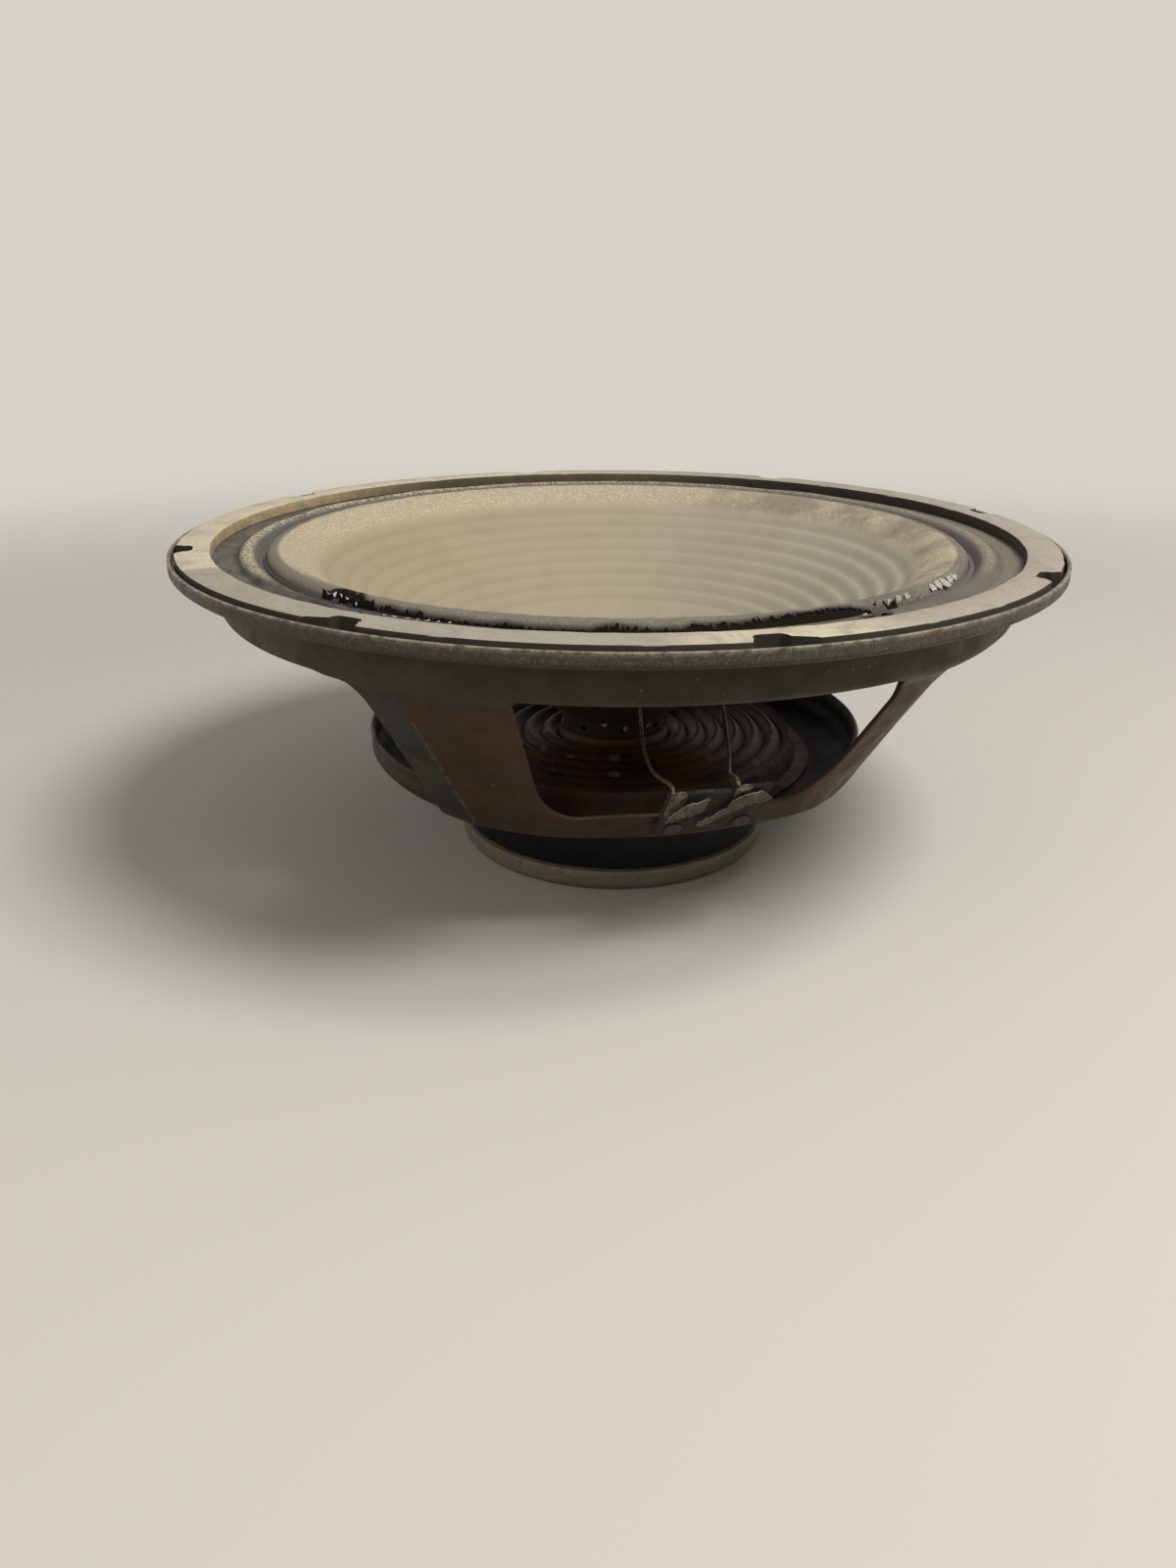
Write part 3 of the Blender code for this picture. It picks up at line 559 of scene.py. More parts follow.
def basketWearAndHighlight(point, normal):
    # bare metal along the ridges and the rim's lip, which also stands as a painted highlight on these edges
    beyond, _ = legOffset(azimuthOf(point))
    ridge = ease(1 - abs(beyond) / 0.6) * ease((0.0900 - point.z) / 0.01) * ease((point.z - 0.0345) / 0.006)
    lip = ease((point.xy.length - 0.1540) / 0.0004) * ease((point.z - 0.1157) / 0.0003)
    return max(ridge * 0.6, lip)


finish(makeBasket(), "bronze_lacquer", "frame", "basket")


print("gasket")
gasketSizes = dict(inner=0.1412, outer=0.1526, base=0.1129, step=0.1137, stepRadius=0.1458, top=0.1175,
                   edge=0.0006, seam=0.02, firstSeam=-60.0, notchBottom=0.1467, notchWidth=0.0098)
# each notch: azimuth, flare to the left and to the right of it, how torn its right corner is
notches = [(-73.5, 0.0022, 0.0022, 0.0), (-28.2, 0.0085, 0.0016, 1.0), (15.2, 0.0012, 0.0090, 0.3),
           (61.5, 0.003, 0.003, 0.4), (106.5, 0.004, 0.003, 0.0), (151.5, 0.004, 0.004, 0.0),
           (196.5, 0.004, 0.004, 0.0), (241.5, 0.004, 0.004, 0.0)]


def notchCutter(azimuth, leftFlare, rightFlare, torn):
    sizes = gasketSizes
    half = sizes["notchWidth"] / 2
    outer, bottom = sizes["outer"], sizes["notchBottom"]
    points = [(-half - leftFlare - 0.002, outer + 0.002), (-half - leftFlare, outer - 0.0002),
              (-half - leftFlare * 0.45, outer - 0.0016), (-half, outer - 0.0030),
              (-half, bottom + 0.0016), (-half * 0.72, bottom), (half * 0.72, bottom),
              (half, bottom + 0.0016), (half, outer - 0.0030), (half + rightFlare * 0.45, outer - 0.0016),
              (half + rightFlare, outer - 0.0002), (half + rightFlare + 0.002, outer + 0.002)]
    line = roundedLine([Vector(p) for p in points], 0.0022, 5)
    outline = []
    for point in spread(line, 0.0006):
        rough = noise.noise(Vector((point.x * 900, point.y * 900, azimuth))) * 0.00022
        right = ease((point.x - half * 0.6) / 0.002) * torn
        rough += right * noise.noise(Vector((point.x * 1700, point.y * 1700, azimuth))) * 0.0009
        outline.append((point.x + rough, -(point.y + rough * 0.6)))
    shape = plate(outline, sizes["base"] - 0.001, sizes["top"] + 0.001)
    return placed(shape, Matrix.Rotation(math.radians(azimuth), 4, "Z"))


def makeGasket(index):
    sizes = gasketSizes
    edge = sizes["edge"]
    outline = [(sizes["inner"], sizes["step"]), (sizes["stepRadius"], sizes["step"]),
               (sizes["stepRadius"], sizes["base"]), (sizes["outer"], sizes["base"]),
               (sizes["outer"], sizes["top"] - edge),
               (sizes["outer"] - edge * 0.3, sizes["top"] - edge * 0.3),
               (sizes["outer"] - edge, sizes["top"]), (sizes["inner"] + 0.0045, sizes["top"] + 0.0001),
               (sizes["inner"] + edge, sizes["top"]),
               (sizes["inner"] + edge * 0.3, sizes["top"] - edge * 0.3),
               (sizes["inner"], sizes["top"] - edge), (sizes["inner"], sizes["step"] + 0.0012)]
    start = sizes["firstSeam"] + 90 * index
    shape = spun(outline, 120, start + sizes["seam"] / 2, 90 - sizes["seam"])
    for vert in shape.verts:
        # the card's edges are a little uneven
        wave = noise.noise(vert.co * 160) * 0.00022 + noise.noise(vert.co * 600) * 0.00010
        if vert.co.z > sizes["step"] + 0.0005:
            radius = vert.co.xy.length
            side = 1 if radius > 0.148 else -1
            vert.co.xy *= (radius + wave * side) / radius
            vert.co.z += min(wave, 0.0001) * 0.4
    piece = makeObject(f"gasketCard{index + 1}", shape)
    inside = [notch for notch in notches if 0 < (notch[0] - start) % 360 < 90]
    cutAway(piece, [notchCutter(*notch) for notch in inside])
    finish(piece, "gasket_card", "frame", f"gasket_{index + 1}")


for index in range(4):
    makeGasket(index)


def gridNet(start, columns, stations):
    # the same kind of net as cutNet's, with nothing left open
    spots = [(start + index, station) for station in stations for index in range(columns + 1)]
    wide = columns + 1
    faces = [(row * wide + i, row * wide + i + 1, (row + 1) * wide + i + 1, (row + 1) * wide + i)
             for row in range(len(stations) - 1) for i in range(columns)]
    return spots, faces


def chip(place, size, seed, thickness=0.0003, bend=0.0006):
    # a torn flake with a ragged outline, slightly curled
    shape = bmesh.new()
    rim = []
    for index in range(11):
        angle = 2 * math.pi * index / 11
        reach = 0.72 + 0.55 * noise.noise(Vector((index * 1.7, seed * 3.1, 0.5)))
        x, y = size[0] / 2 * reach * math.cos(angle), size[1] / 2 * reach * math.sin(angle)
        rim.append(shape.verts.new((x, y, 4 * bend * (x / size[0]) ** 2)))
    middle = shape.verts.new((0, 0, 0))
    faces = [shape.faces.new((middle, a, b)) for a, b in zip(rim, rim[1:] + rim[:1])]
    bmesh.ops.solidify(shape, geom=faces, thickness=thickness)
    return placed(shape, place)


def standing(radius, azimuth, height, tilt, twist):
    # a frame at a polar point: X along the ring, Y inwards, tilted about X and twisted about Z
    return (Matrix.Translation(polar(radius, azimuth, height))
            @ Matrix.Rotation(math.radians(azimuth), 4, "Z")
            @ Matrix.Rotation(math.radians(tilt), 4, "X") @ Matrix.Rotation(math.radians(twist), 4, "Z"))


print("surround")
surroundSizes = dict(
    wall=0.0005, rounding=0.0016, step=0.0006,
    line=[(0.1455, 0.11315), (0.1345, 0.11315), (0.1331, 0.11285), (0.1315, 0.11475), (0.1295, 0.11535),
          (0.1275, 0.11465), (0.1253, 0.11125), (0.1243, 0.11120), (0.1238, 0.11240)],
    sag=0.00035, sunk=0.0016)
# what clings to the torn stretch: azimuth, radius, height, width, depth, tilt
whiteFlakes = [
    (51.4, 0.1225, 0.1146, 0.0052, 0.0036, 40), (53.4, 0.1227, 0.1146, 0.0060, 0.0046, 36),
    (55.6, 0.1228, 0.1146, 0.0066, 0.0050, 38), (57.8, 0.1227, 0.1146, 0.0060, 0.0040, 44),
    (59.8, 0.1226, 0.1146, 0.0046, 0.0034, 40), (38.4, 0.1224, 0.1141, 0.0040, 0.0016, 50),
    (40.4, 0.1224, 0.1144, 0.0036, 0.0026, 60), (42.2, 0.1225, 0.1145, 0.0034, 0.0030, 66),
    (44.2, 0.1226, 0.1146, 0.0034, 0.0028, 60)]
clothRags = [
    (-40.4, 0.1250, 0.1130, 0.0044, 0.0034, 60), (-38.9, 0.1252, 0.1124, 0.0040, 0.0040, 30),
    (-37.4, 0.1254, 0.1126, 0.0044, 0.0032, 70), (-36.2, 0.1254, 0.1120, 0.0030, 0.0030, 40),
    (34.6, 0.1290, 0.1140, 0.0110, 0.0052, 24), (36.4, 0.1286, 0.1141, 0.0075, 0.0042, 12)]
# white crumbs on the gasket's edge and by the left hole: azimuth, radius
crumbSpots = [
    (-25.5, 0.1409), (-24.2, 0.1410), (-22.6, 0.1409), (-21.4, 0.1410), (-20.2, 0.1409),
    (-18.9, 0.1410), (-17.6, 0.1409), (-41.2, 0.1240), (-42.2, 0.1246), (-43.0, 0.1240)]


def tearOutline(azimuths, inner, outer, roughIn, roughOut, seed):
    # a ragged opening along the ring, as (azimuth, radius) points
    points = []
    for azimuth in azimuths:
        rough = noise.noise(Vector((azimuth * 1.3, seed, 0))) + 0.6 * noise.noise(
            Vector((azimuth * 3.7, seed, 4)))
        points.append((azimuth, np.interp(azimuth, *inner) + roughIn * rough))
    for azimuth in azimuths[::-1]:
        rough = noise.noise(Vector((azimuth * 1.1, seed, 9)))
        points.append((azimuth, np.interp(azimuth, *outer) + roughOut * rough))
    return points


def makeSurround():
    sizes = surroundSizes
    section = Section(sizes["line"], sizes["rounding"], sizes["step"], sizes["wall"], 0.0)
    radii = section.second[:, 0]

    def station(radius):
        return float(np.interp(-radius, -radii[:-3], section.stations[:-3]))

    def place(azimuth, at, side):
        radius, height = section.at(at, side)
        sag = noise.noise(Vector((azimuth * 0.09, radius * 30, 2.0))) * sizes["sag"]
        fade = ease((0.1405 - radius) / 0.004) * ease((radius - 0.1250) / 0.002)
        # the roll has sunk beside the torn stretch
        sunk = ease((azimuth + 66) / 22) * ease((76 - azimuth) / 22) * sizes["sunk"]
        crest = ease((0.1336 - radius) / 0.002) * ease((radius - 0.1256) / 0.0018)
        return polar(radius, azimuth, height + sag * fade - sunk * crest)

    long = [-34 + 0.5 * i for i in range(142)]
    tears = [tearOutline(long, ([-34, -33, 34, 36.5], [0.1272, 0.1257, 0.1257, 0.1290]),
                         ([-34, -32, 34, 36.5], [0.1280, 0.1380, 0.1385, 0.1296]), 0.00035, 0.0006, 3),
             tearOutline([38 + 0.4 * i for i in range(11)], ([38, 40, 42], [0.1268, 0.1262, 0.1270]),
                         ([38, 40, 42], [0.1274, 0.1302, 0.1276]), 0.0002, 0.0004, 5),
             tearOutline([-43 + 0.4 * i for i in range(17)], ([-43, -40, -36.6], [0.1262, 0.1257, 0.1262]),
                         ([-43, -40, -36.6], [0.1268, 0.1290, 0.1270]), 0.0002, 0.0004, 7)]
    holes = [[(azimuth, station(radius)) for azimuth, radius in tear] for tear in tears]
    columns = [(-180 + i, True) for i in range(361)]
    columns += [(-47 + 0.5 + i, False) for i in range(94)]
    net = cutNet(-180, columns, list(section.stations), holes, (0.00225, 0.0004))
    shape = skinPair([(net, [0])], place)
    # each loose scrap has its material's slot: 0 cloth, 1 white flake, 2 near-black painted shade
    loose = []
    for index, (azimuth, radius, height, wide, deep, tilt) in enumerate(whiteFlakes):
        spot = standing(radius, azimuth, height, tilt, 20 * math.sin(index * 2.3))
        loose.append((chip(spot, (wide, deep), index), 1))
    for index, (azimuth, radius) in enumerate(crumbSpots):
        height = 0.11770 if radius > 0.14 else 0.1147
        wide = 0.0022 if index % 3 else 0.0014
        spot = standing(radius, azimuth, height, 4, 14 * index)
        loose.append((chip(spot, (wide, 0.0010), 20 + index, 0.0002, 0.0002), 1))
    for index, (azimuth, radius, height, wide, deep, tilt) in enumerate(clothRags):
        spot = standing(radius, azimuth, height, tilt, 16 * index)
        loose.append((chip(spot, (wide, deep), 40 + index, 0.0004, 0.0009), 0))
    # torn strips that hang down behind the openings, coloured near-black as the painted shade seen through
    # them
    for step in range(12):
        azimuth = -44 + 1.2 * step if step < 9 else 36 + 2.5 * (step - 9)
        spot = standing(0.1240, azimuth, 0.1098, 86, 0)
        loose.append((chip(spot, (0.0095, 0.0140), step, 0.0003, 0.0004), 2))
    first = len(shape.faces)
    marks = [(len(part.faces), mark) for part, mark in loose]
    shape = joined([shape, *(part for part, _ in loose)])
    shape.faces.ensure_lookup_table()
    for count, mark in marks:
        for face in shape.faces[first:first + count]:
            face.material_index = mark
        first += count
    piece = makeObject("surroundCloth", shape, sharpAngle=60)
    paint(piece, "crest", lambda point, normal: share((point.z - 0.1143) / 0.001))
    return piece


surroundCloth = finish(makeSurround(), "doped_cloth", None, "surround")
bendRound(surroundCloth, 0.1405, 0.1262)


print("cone")
coneSizes = dict(
    wall=0.0009, rounding=0.0022, step=0.0010, body=(0.106, 0.10765), slope=0.669,
    line=[(0.02025, 0.05028), (0.106, 0.10765), (0.1130, 0.11235), (0.1176, 0.11460), (0.1200, 0.11500),
          (0.1216, 0.11460), (0.1227, 0.11345), (0.1230, 0.11105)],
    ribs=8, ribOuter=0.103, ribPitch=0.006, ribDepth=0.00072)
# how far the flank is torn up from its edge, in millimetres along the ring
tornFlank = [(-44.5, 0.6), (-43.4, 3.8), (-42.4, 7.6), (-40.5, 8.8), (-38.6, 7.6), (-37.2, 5.4),
             (-35.8, 3.4), (-34, 2.0), (-31.5, 2.9), (-29, 2.2), (-27, 2.8), (-25, 1.9),
             (-18, 1.7), (-13.5, 2.1),
             (-11, 1.7), (-3, 1.7), (-0.5, 2.9), (2.5, 2.4), (5, 1.8), (8.5, 1.9), (10, 3.0), (12, 2.7),
             (16, 2.9), (20, 3.4), (24, 4.0), (28, 4.4), (31, 4.2), (33.5, 3.2), (35.5, 2.0), (37.5, 0.6)]


def coneHeight(radius):
    # middle of the cone's paper inside its outer band
    return coneSizes["body"][1] - (coneSizes["body"][0] - radius) * coneSizes["slope"]


def ribDrop(radius):
    sizes = coneSizes
    inner = sizes["ribOuter"] - sizes["ribPitch"] * (sizes["ribs"] - 1) - sizes["ribPitch"] / 2
    outer = sizes["ribOuter"] + sizes["ribPitch"] / 2
    fade = ease((radius - inner) / 0.002) * ease((outer - radius) / 0.002)
    wave = math.cos(2 * math.pi * (radius - sizes["ribOuter"]) / sizes["ribPitch"])
    return sizes["ribDepth"] * (0.5 + 0.5 * wave) * fade


def makeCone():
    sizes = coneSizes
    section = Section(sizes["line"], sizes["rounding"], sizes["step"], sizes["wall"], 0.0)
    edge = section.stations[-1]

    def place(azimuth, station, side):
        radius, height = section.at(station, 1 - side)
        height -= ribDrop(radius)
        band = ease((radius - 0.1075) / 0.003)
        rough = (noise.noise(Vector((azimuth * 0.35, radius * 260, 1.0))) * 0.00020
                 + noise.noise(Vector((azimuth * 1.2, radius * 700, 5.0))) * 0.00016) * band
        turn = math.radians(azimuth)
        body = noise.noise(Vector((math.cos(turn) * 1.3, math.sin(turn) * 1.3, radius * 14)))
        body *= 0.00035 * (1 - band)
        return polar(radius, azimuth, height + rough + body * ease((radius - 0.03) / 0.02))

    seam = section.stations[int(np.argmin(abs(section.second[:, 0] - 0.1045)))]
    inner = [s for s in section.stations if s <= seam + tiny]
    outer = [s for s in section.stations if s >= seam - tiny]
    steps = int((tornFlank[-1][0] - tornFlank[0][0]) / 0.25) + 1
    azimuths = [tornFlank[0][0] + 0.25 * i for i in range(steps)]
    turnsTorn, depthsTorn = zip(*tornFlank)
    tear = [(azimuth, edge - 0.00035) for azimuth in azimuths[::2]]
    for azimuth in azimuths[::-1]:
        depth = np.interp(azimuth, turnsTorn, depthsTorn) / 1000
        tooth = noise.noise(Vector((azimuth * 0.9, 0, 3))) + 1.3 * noise.noise(Vector((azimuth * 2.1, 7, 1)))
        tooth += 0.8 * noise.noise(Vector((azimuth * 4.3, 2, 5)))
        depth += max(-0.8, tooth) * 0.0013 * ease((depth - 0.0009) / 0.0014)
        tear.append((azimuth, edge - max(depth, 0.0007)))
    columns = [(-180 + i, True) for i in range(361)] + [(-180 + 0.5 + i, False) for i in range(360)]
    net = cutNet(-180, columns, outer, [tear], (0.0021, 0.00035))
    shape = skinPair([(gridNet(-180, 360, inner), [0]), (net, [0])], place, keepLayers=True)
    piece = makeObject("conePaper", shape, sharpAngle=60)
    mesh = piece.data
    turns = np.zeros(len(mesh.vertices), np.float32)
    stations = np.zeros(len(mesh.vertices), np.float32)
    mesh.attributes["azimuth"].data.foreach_get("value", turns)
    mesh.attributes["station"].data.foreach_get("value", stations)
    depth = np.interp(turns, turnsTorn, depthsTorn, left=0, right=0) / 1000
    bare = np.clip(1 - (edge - stations - depth) / 0.0016, 0, 1) * (depth > 0)
    torn = mesh.attributes.new("torn", "FLOAT", "POINT")
    torn.data.foreach_set("value", bare.astype(np.float32))
    for name in ("azimuth", "station"):
        mesh.attributes.remove(mesh.attributes[name])
    return piece


finish(makeCone(), "cone_paper", "cone_assembly", "cone")


print("dust cap, former and spider")
capSizes = dict(radius=0.0355, seat=0.0325, wall=0.0008, rise=0.010)


def coneFront(radius):
    return coneHeight(radius) + coneSizes["wall"] / 2 * math.sqrt(1 + coneSizes["slope"] ** 2)


def makeDustCap():
    sizes = capSizes
    lift = (0.0003 + sizes["wall"] / 2) * 1.2
    seat = sizes["seat"]
    line = [Vector((sizes["radius"], coneFront(sizes["radius"]) + lift)),
            Vector((sizes["radius"] - 0.0015, coneFront(sizes["radius"] - 0.0015) + lift)),
            Vector((seat, coneFront(seat) + lift))]
    base = line[-1].y + 0.0004
    for step in range(1, 19):
        angle = math.radians(90 - 5 * step)
        line.append(Vector(((seat - 0.0008) * math.sin(angle), base + sizes["rise"] * math.cos(angle))))
    line[-1].x = 0
    both = sheetSection(line, sizes["wall"])
    count = len(line)
    under, over = both[:count], both[count:][::-1]
    if under[4].y > over[4].y:
        under, over = over, under
    for skin in (under, over):
        skin[-1].x = 0
    shape = spun(over[::-1] + under, 96, closed=False)
    return makeObject("dustCapPaper", shape)


finish(makeDustCap(), "cap_paper", "cone_assembly", "dust_cap")


# the collar's points: how far it stands off the tube, height
formerSizes = dict(low=0.0218, high=0.0528, inner=0.0191, outer=0.0195, vents=8, firstVent=10,
                   ventRadius=0.0012, ventCentre=0.0193, ventHeight=0.0463, ventReach=0.002,
                   collar=[(0.0, 0.0440), (0.0004, 0.0485), (0.0003, 0.0494), (0.0, 0.0500)])


def makeFormer():
    # varnished paper tube with vents below the neck and a glue collar
    sizes = formerSizes
    low, high, inner, outer = (sizes[key] for key in ("low", "high", "inner", "outer"))
    collar = [(outer + stand, height) for stand, height in sizes["collar"]]
    shape = spun([(inner, low), (outer, low), *collar, (outer, high), (inner, high)], 96)
    piece = makeObject("coilFormerTube", shape)
    vents = []
    for index in range(sizes["vents"]):
        azimuth = sizes["firstVent"] + 360 / sizes["vents"] * index
        vent = roundBar(sizes["ventRadius"], -sizes["ventReach"], sizes["ventReach"], 16)
        lying = Matrix.Rotation(math.radians(azimuth), 4, "Z") @ Matrix.Rotation(math.radians(90), 4, "X")
        spot = Matrix.Translation(polar(sizes["ventCentre"], azimuth, sizes["ventHeight"]))
        vents.append(placed(vent, spot @ lying))
    cutAway(piece, vents)
    return piece


finish(makeFormer(), "former_paper", "cone_assembly", "coil_former")

spiderSizes = dict(middle=0.0405, cloth=0.0006, firstFold=0.0255, pitch=0.0071, folds=6, depth=0.0026,
                   collar=0.0198, collarTop=0.0435, landing=0.0338, shoulder=0.06735, foot=0.06975,
                   outer=0.07475, crumbs=[(-9, 0.0493), (12, 0.0478), (37, 0.0478)])


def makeSpider():
    sizes = spiderSizes
    half = sizes["depth"] / 2
    line = [(sizes["collar"], sizes["collarTop"]), (sizes["collar"], sizes["middle"] + half + 0.0004),
            (sizes["collar"] + 0.0005, sizes["middle"] + half - 0.0004)]
    last = sizes["firstFold"] + sizes["pitch"] * (sizes["folds"] - 0.5)
    radius = sizes["firstFold"] - sizes["pitch"] / 2
    while radius <= last + tiny:
        wave = math.cos(2 * math.pi * (radius - sizes["firstFold"]) / sizes["pitch"])
        line.append((radius, sizes["middle"] + half * wave))
        radius += sizes["pitch"] / 10
    line += [(sizes["shoulder"] - 0.0012, sizes["middle"] + half * 0.7),
             (sizes["shoulder"], sizes["middle"] + half),
             (sizes["foot"] - 0.0010, sizes["middle"] - 0.0010),
             (sizes["foot"] - 0.0006, sizes["landing"] + 0.0006),
             (sizes["foot"], sizes["landing"]), (sizes["outer"] - 0.0015, sizes["landing"]),
             (sizes["outer"], sizes["landing"])]
    section = sheetSection([Vector(p) for p in line], sizes["cloth"])
    shape = spun(section, 240)
    # a few white crumbs lie near the neck
    crumbs = [chip(standing(0.0212, azimuth, height, 70, 20 * azimuth), (0.0030, 0.0018), 60 + index)
              for index, (azimuth, height) in enumerate(sizes["crumbs"])]
    before = len(shape.faces)
    shape = joined([shape, *crumbs])
    shape.faces.ensure_lookup_table()
    for face in shape.faces[before:]:
        face.material_index = 1
    piece = makeObject("spiderCloth", shape, sharpAngle=70)
    paint(piece, "crest", lambda point, normal: share((point.z - 0.0410) / 0.001))
    return piece


spiderCloth = finish(makeSpider(), "resin_cloth", None, "spider")
bendRound(spiderCloth, 0.0697, 0.0202)


print("magnet system")
plateSizes = dict(radius=0.0588, thick=0.008, rounding=0.0034, edge=0.0006, flat=0.0052, inner=0.030)
ringSizes = dict(
    magnetRing=dict(inner=0.030, outer=0.0575, low=0.0083, high=0.0255, edge=0.0007, chips=0.002),
    topPlateSteel=dict(inner=0.0212, outer=0.056, low=0.0258, high=0.0315, edge=0.0004, chips=0.0))


def makeBackPlate():
    sizes = plateSizes
    radius, thick, rounding, edge = (sizes[key] for key in ("radius", "thick", "rounding", "edge"))
    outline = [(0, 0)]
    for step in range(9):
        angle = math.radians(90 * step / 8)
        outline.append((radius - rounding * (1 - math.sin(angle)), rounding * (1 - math.cos(angle))))
    outline += [(radius, sizes["flat"]), (radius, thick - edge),
                (radius - edge * 0.3, thick - edge * 0.3), (radius - edge, thick),
                (sizes["inner"], thick), (0, thick)]
    return makeObject("backPlateSteel", spun(outline, 180, closed=False))


def makeRing(name):
    # a ring with broken edges; chips are how deep its outer edges are bitten
    inner, outer, low, high, edge, chips = ringSizes[name].values()
    outline = [(inner, low + edge), (inner + edge, low), (outer - edge, low),
               (outer - edge * 0.3, low + edge * 0.3), (outer, low + edge),
               (outer, (low + high) / 2), (outer, high - edge),
               (outer - edge * 0.3, high - edge * 0.3), (outer - edge, high), (inner + edge, high),
               (inner, high - edge)]
    shape = spun(outline, 180)
    for vert in shape.verts:
        radius = vert.co.xy.length
        if chips and radius > outer - edge * 1.5:
            bite = max(0.0, noise.noise(vert.co * 240) - 0.32) * chips
            vert.co.xy *= (radius - bite) / radius
    return makeObject(name, shape)


finish(makeBackPlate(), "zinc_steel", "frame", "back_plate")
finish(makeRing("magnetRing"), "ferrite", "frame", "magnet")
finish(makeRing("topPlateSteel"), "zinc_steel", "frame", "top_plate")


print("terminal board")
boardSizes = dict(azimuth=18.0, slope=0.69, radius=0.09702, sill=0.0464, half=0.017, above=0.015,
                  below=0.007, clear=0.0003, thick=0.0016, rivetSpread=0.0115, rivetDrop=0.004,
                  rivetRadius=0.0016,
                  rivetHead=0.003, headHeight=0.0006, lugWidth=0.0055, lugAbove=0.0032, lugBelow=0.011,
                  lugThick=0.0006, lugs=(-0.0142, 0.007))
# outlines of the torn tape, as shares of the board's half width and of its height above the sill
tapeShapes = dict(
    left=[(-0.98, 0.26), (-0.80, 0.66), (-0.60, 0.90), (-0.26, 0.96), (-0.30, 0.56), (-0.52, 0.42)],
    right=[(0.22, 0.80), (0.40, 1.0), (0.74, 1.04), (1.02, 0.72), (0.80, 0.60), (0.50, 0.56), (0.38, 0.42),
           (0.03, 0.12), (-0.20, -0.06), (-0.32, -0.02), (-0.28, 0.10), (0.0, 0.34), (0.18, 0.58)])


def boardFrame():
    sizes = boardSizes
    lean = math.atan(sizes["slope"])
    outward = polar(1, sizes["azimuth"], 0)
    along = polar(1, sizes["azimuth"] + 90, 0)
    upward = outward * math.sin(lean) + Vector((0, 0, math.cos(lean)))
    matrix = Matrix((along, upward, along.cross(upward))).transposed().to_4x4()
    matrix.translation = polar(sizes["radius"], sizes["azimuth"], sizes["sill"])
    return matrix


def makeBoard():
    sizes = boardSizes
    half, above, below = sizes["half"], sizes["above"], sizes["below"]
    points = []
    corners = [(-half, -below), (half, -below), (half, above), (half * 0.5, above),
               (half * 0.42, above - 0.0012), (-half * 0.1, above - 0.0008),
               (-half * 0.2, above), (-half, above)]
    for a, b in zip(corners, corners[1:] + corners[:1]):
        for step in range(10):
            x, y = a[0] + (b[0] - a[0]) * step / 10, a[1] + (b[1] - a[1]) * step / 10
            rough = noise.noise(Vector((x * 700, y * 700, 2))) * 0.00030
            points.append((x + rough, min(y + rough, above)))
    shape = plate(points, sizes["clear"], sizes["clear"] + sizes["thick"])
    bevelled(shape, 0.0002)
    return makeObject("terminalBoardFibre", placed(shape, boardFrame()))


finish(makeBoard(), "fibre_board", "frame", "terminal_board")


def makeBoardRivet(side):
    sizes = boardSizes
    face = sizes["clear"] * 2 + sizes["thick"]
    tail = -((sizes["rivetSpread"] + sizes["rivetHead"]) ** 2 / (2 * sizes["radius"]) + 0.0014 + 0.0003)
    shank, head, high = sizes["rivetRadius"], sizes["rivetHead"], sizes["headHeight"]
    outline = [(0, tail - high), (head * 0.7, tail - high), (head, tail - high * 0.4), (head, tail),
               (shank, tail), (shank, face), (head, face), (head, face + high * 0.4),
               (head * 0.75, face + high),
               (0.0009, face + high), (0.0006, face + high * 0.55), (0, face + high * 0.5)]
    shape = spun(outline, 32, closed=False)
    spot = boardFrame() @ Matrix.Translation((side * sizes["rivetSpread"], -sizes["rivetDrop"], 0))
    return makeObject("boardRivet" + ("Left" if side < 0 else "Right"), placed(shape, spot))


for side, name in ((-1, "left"), (1, "right")):
    finish(makeBoardRivet(side), "rivet_steel", "frame", "board_rivet_" + name)


def makeLug(name, x):
    sizes = boardSizes
    low = sizes["clear"] * 2 + sizes["thick"]
    half = sizes["lugWidth"] / 2
    bottom, top = sizes["above"] - sizes["lugBelow"], sizes["above"] + sizes["lugAbove"]
    outline = [(x - half, bottom + 0.0015), (x - half * 0.6, bottom), (x + half * 0.6, bottom),
               (x + half, bottom + 0.0015), (x + half, top - 0.0022), (x + half * 0.55, top - 0.0004),
               (x + half * 0.2, top), (x - half * 0.2, top), (x - half * 0.55, top - 0.0004),
               (x - half, top - 0.0022)]
    tab = bevelled(plate(outline, low, low + sizes["lugThick"]), 0.00012)
    solder = bmesh.new()
    bmesh.ops.create_icosphere(solder, subdivisions=4, radius=0.0019)
    for vert in solder.verts:
        bump = 1 + 0.22 * noise.noise(vert.co * 700 + Vector((x * 900, 0, 0)))
        vert.co = Vector((vert.co.x * 1.15 * bump + x, vert.co.y * 0.75 * bump + top - 0.0020,
                          vert.co.z * 0.42 * bump + low + sizes["lugThick"] * 0.75))
    shape = joined([tab, solder])
    return makeObject(name, placed(shape, boardFrame()))


for name, x in zip(("left", "right"), boardSizes["lugs"]):
    finish(makeLug("lugTab" + name.capitalize(), x), "tinned_brass", "frame", "lug_" + name)


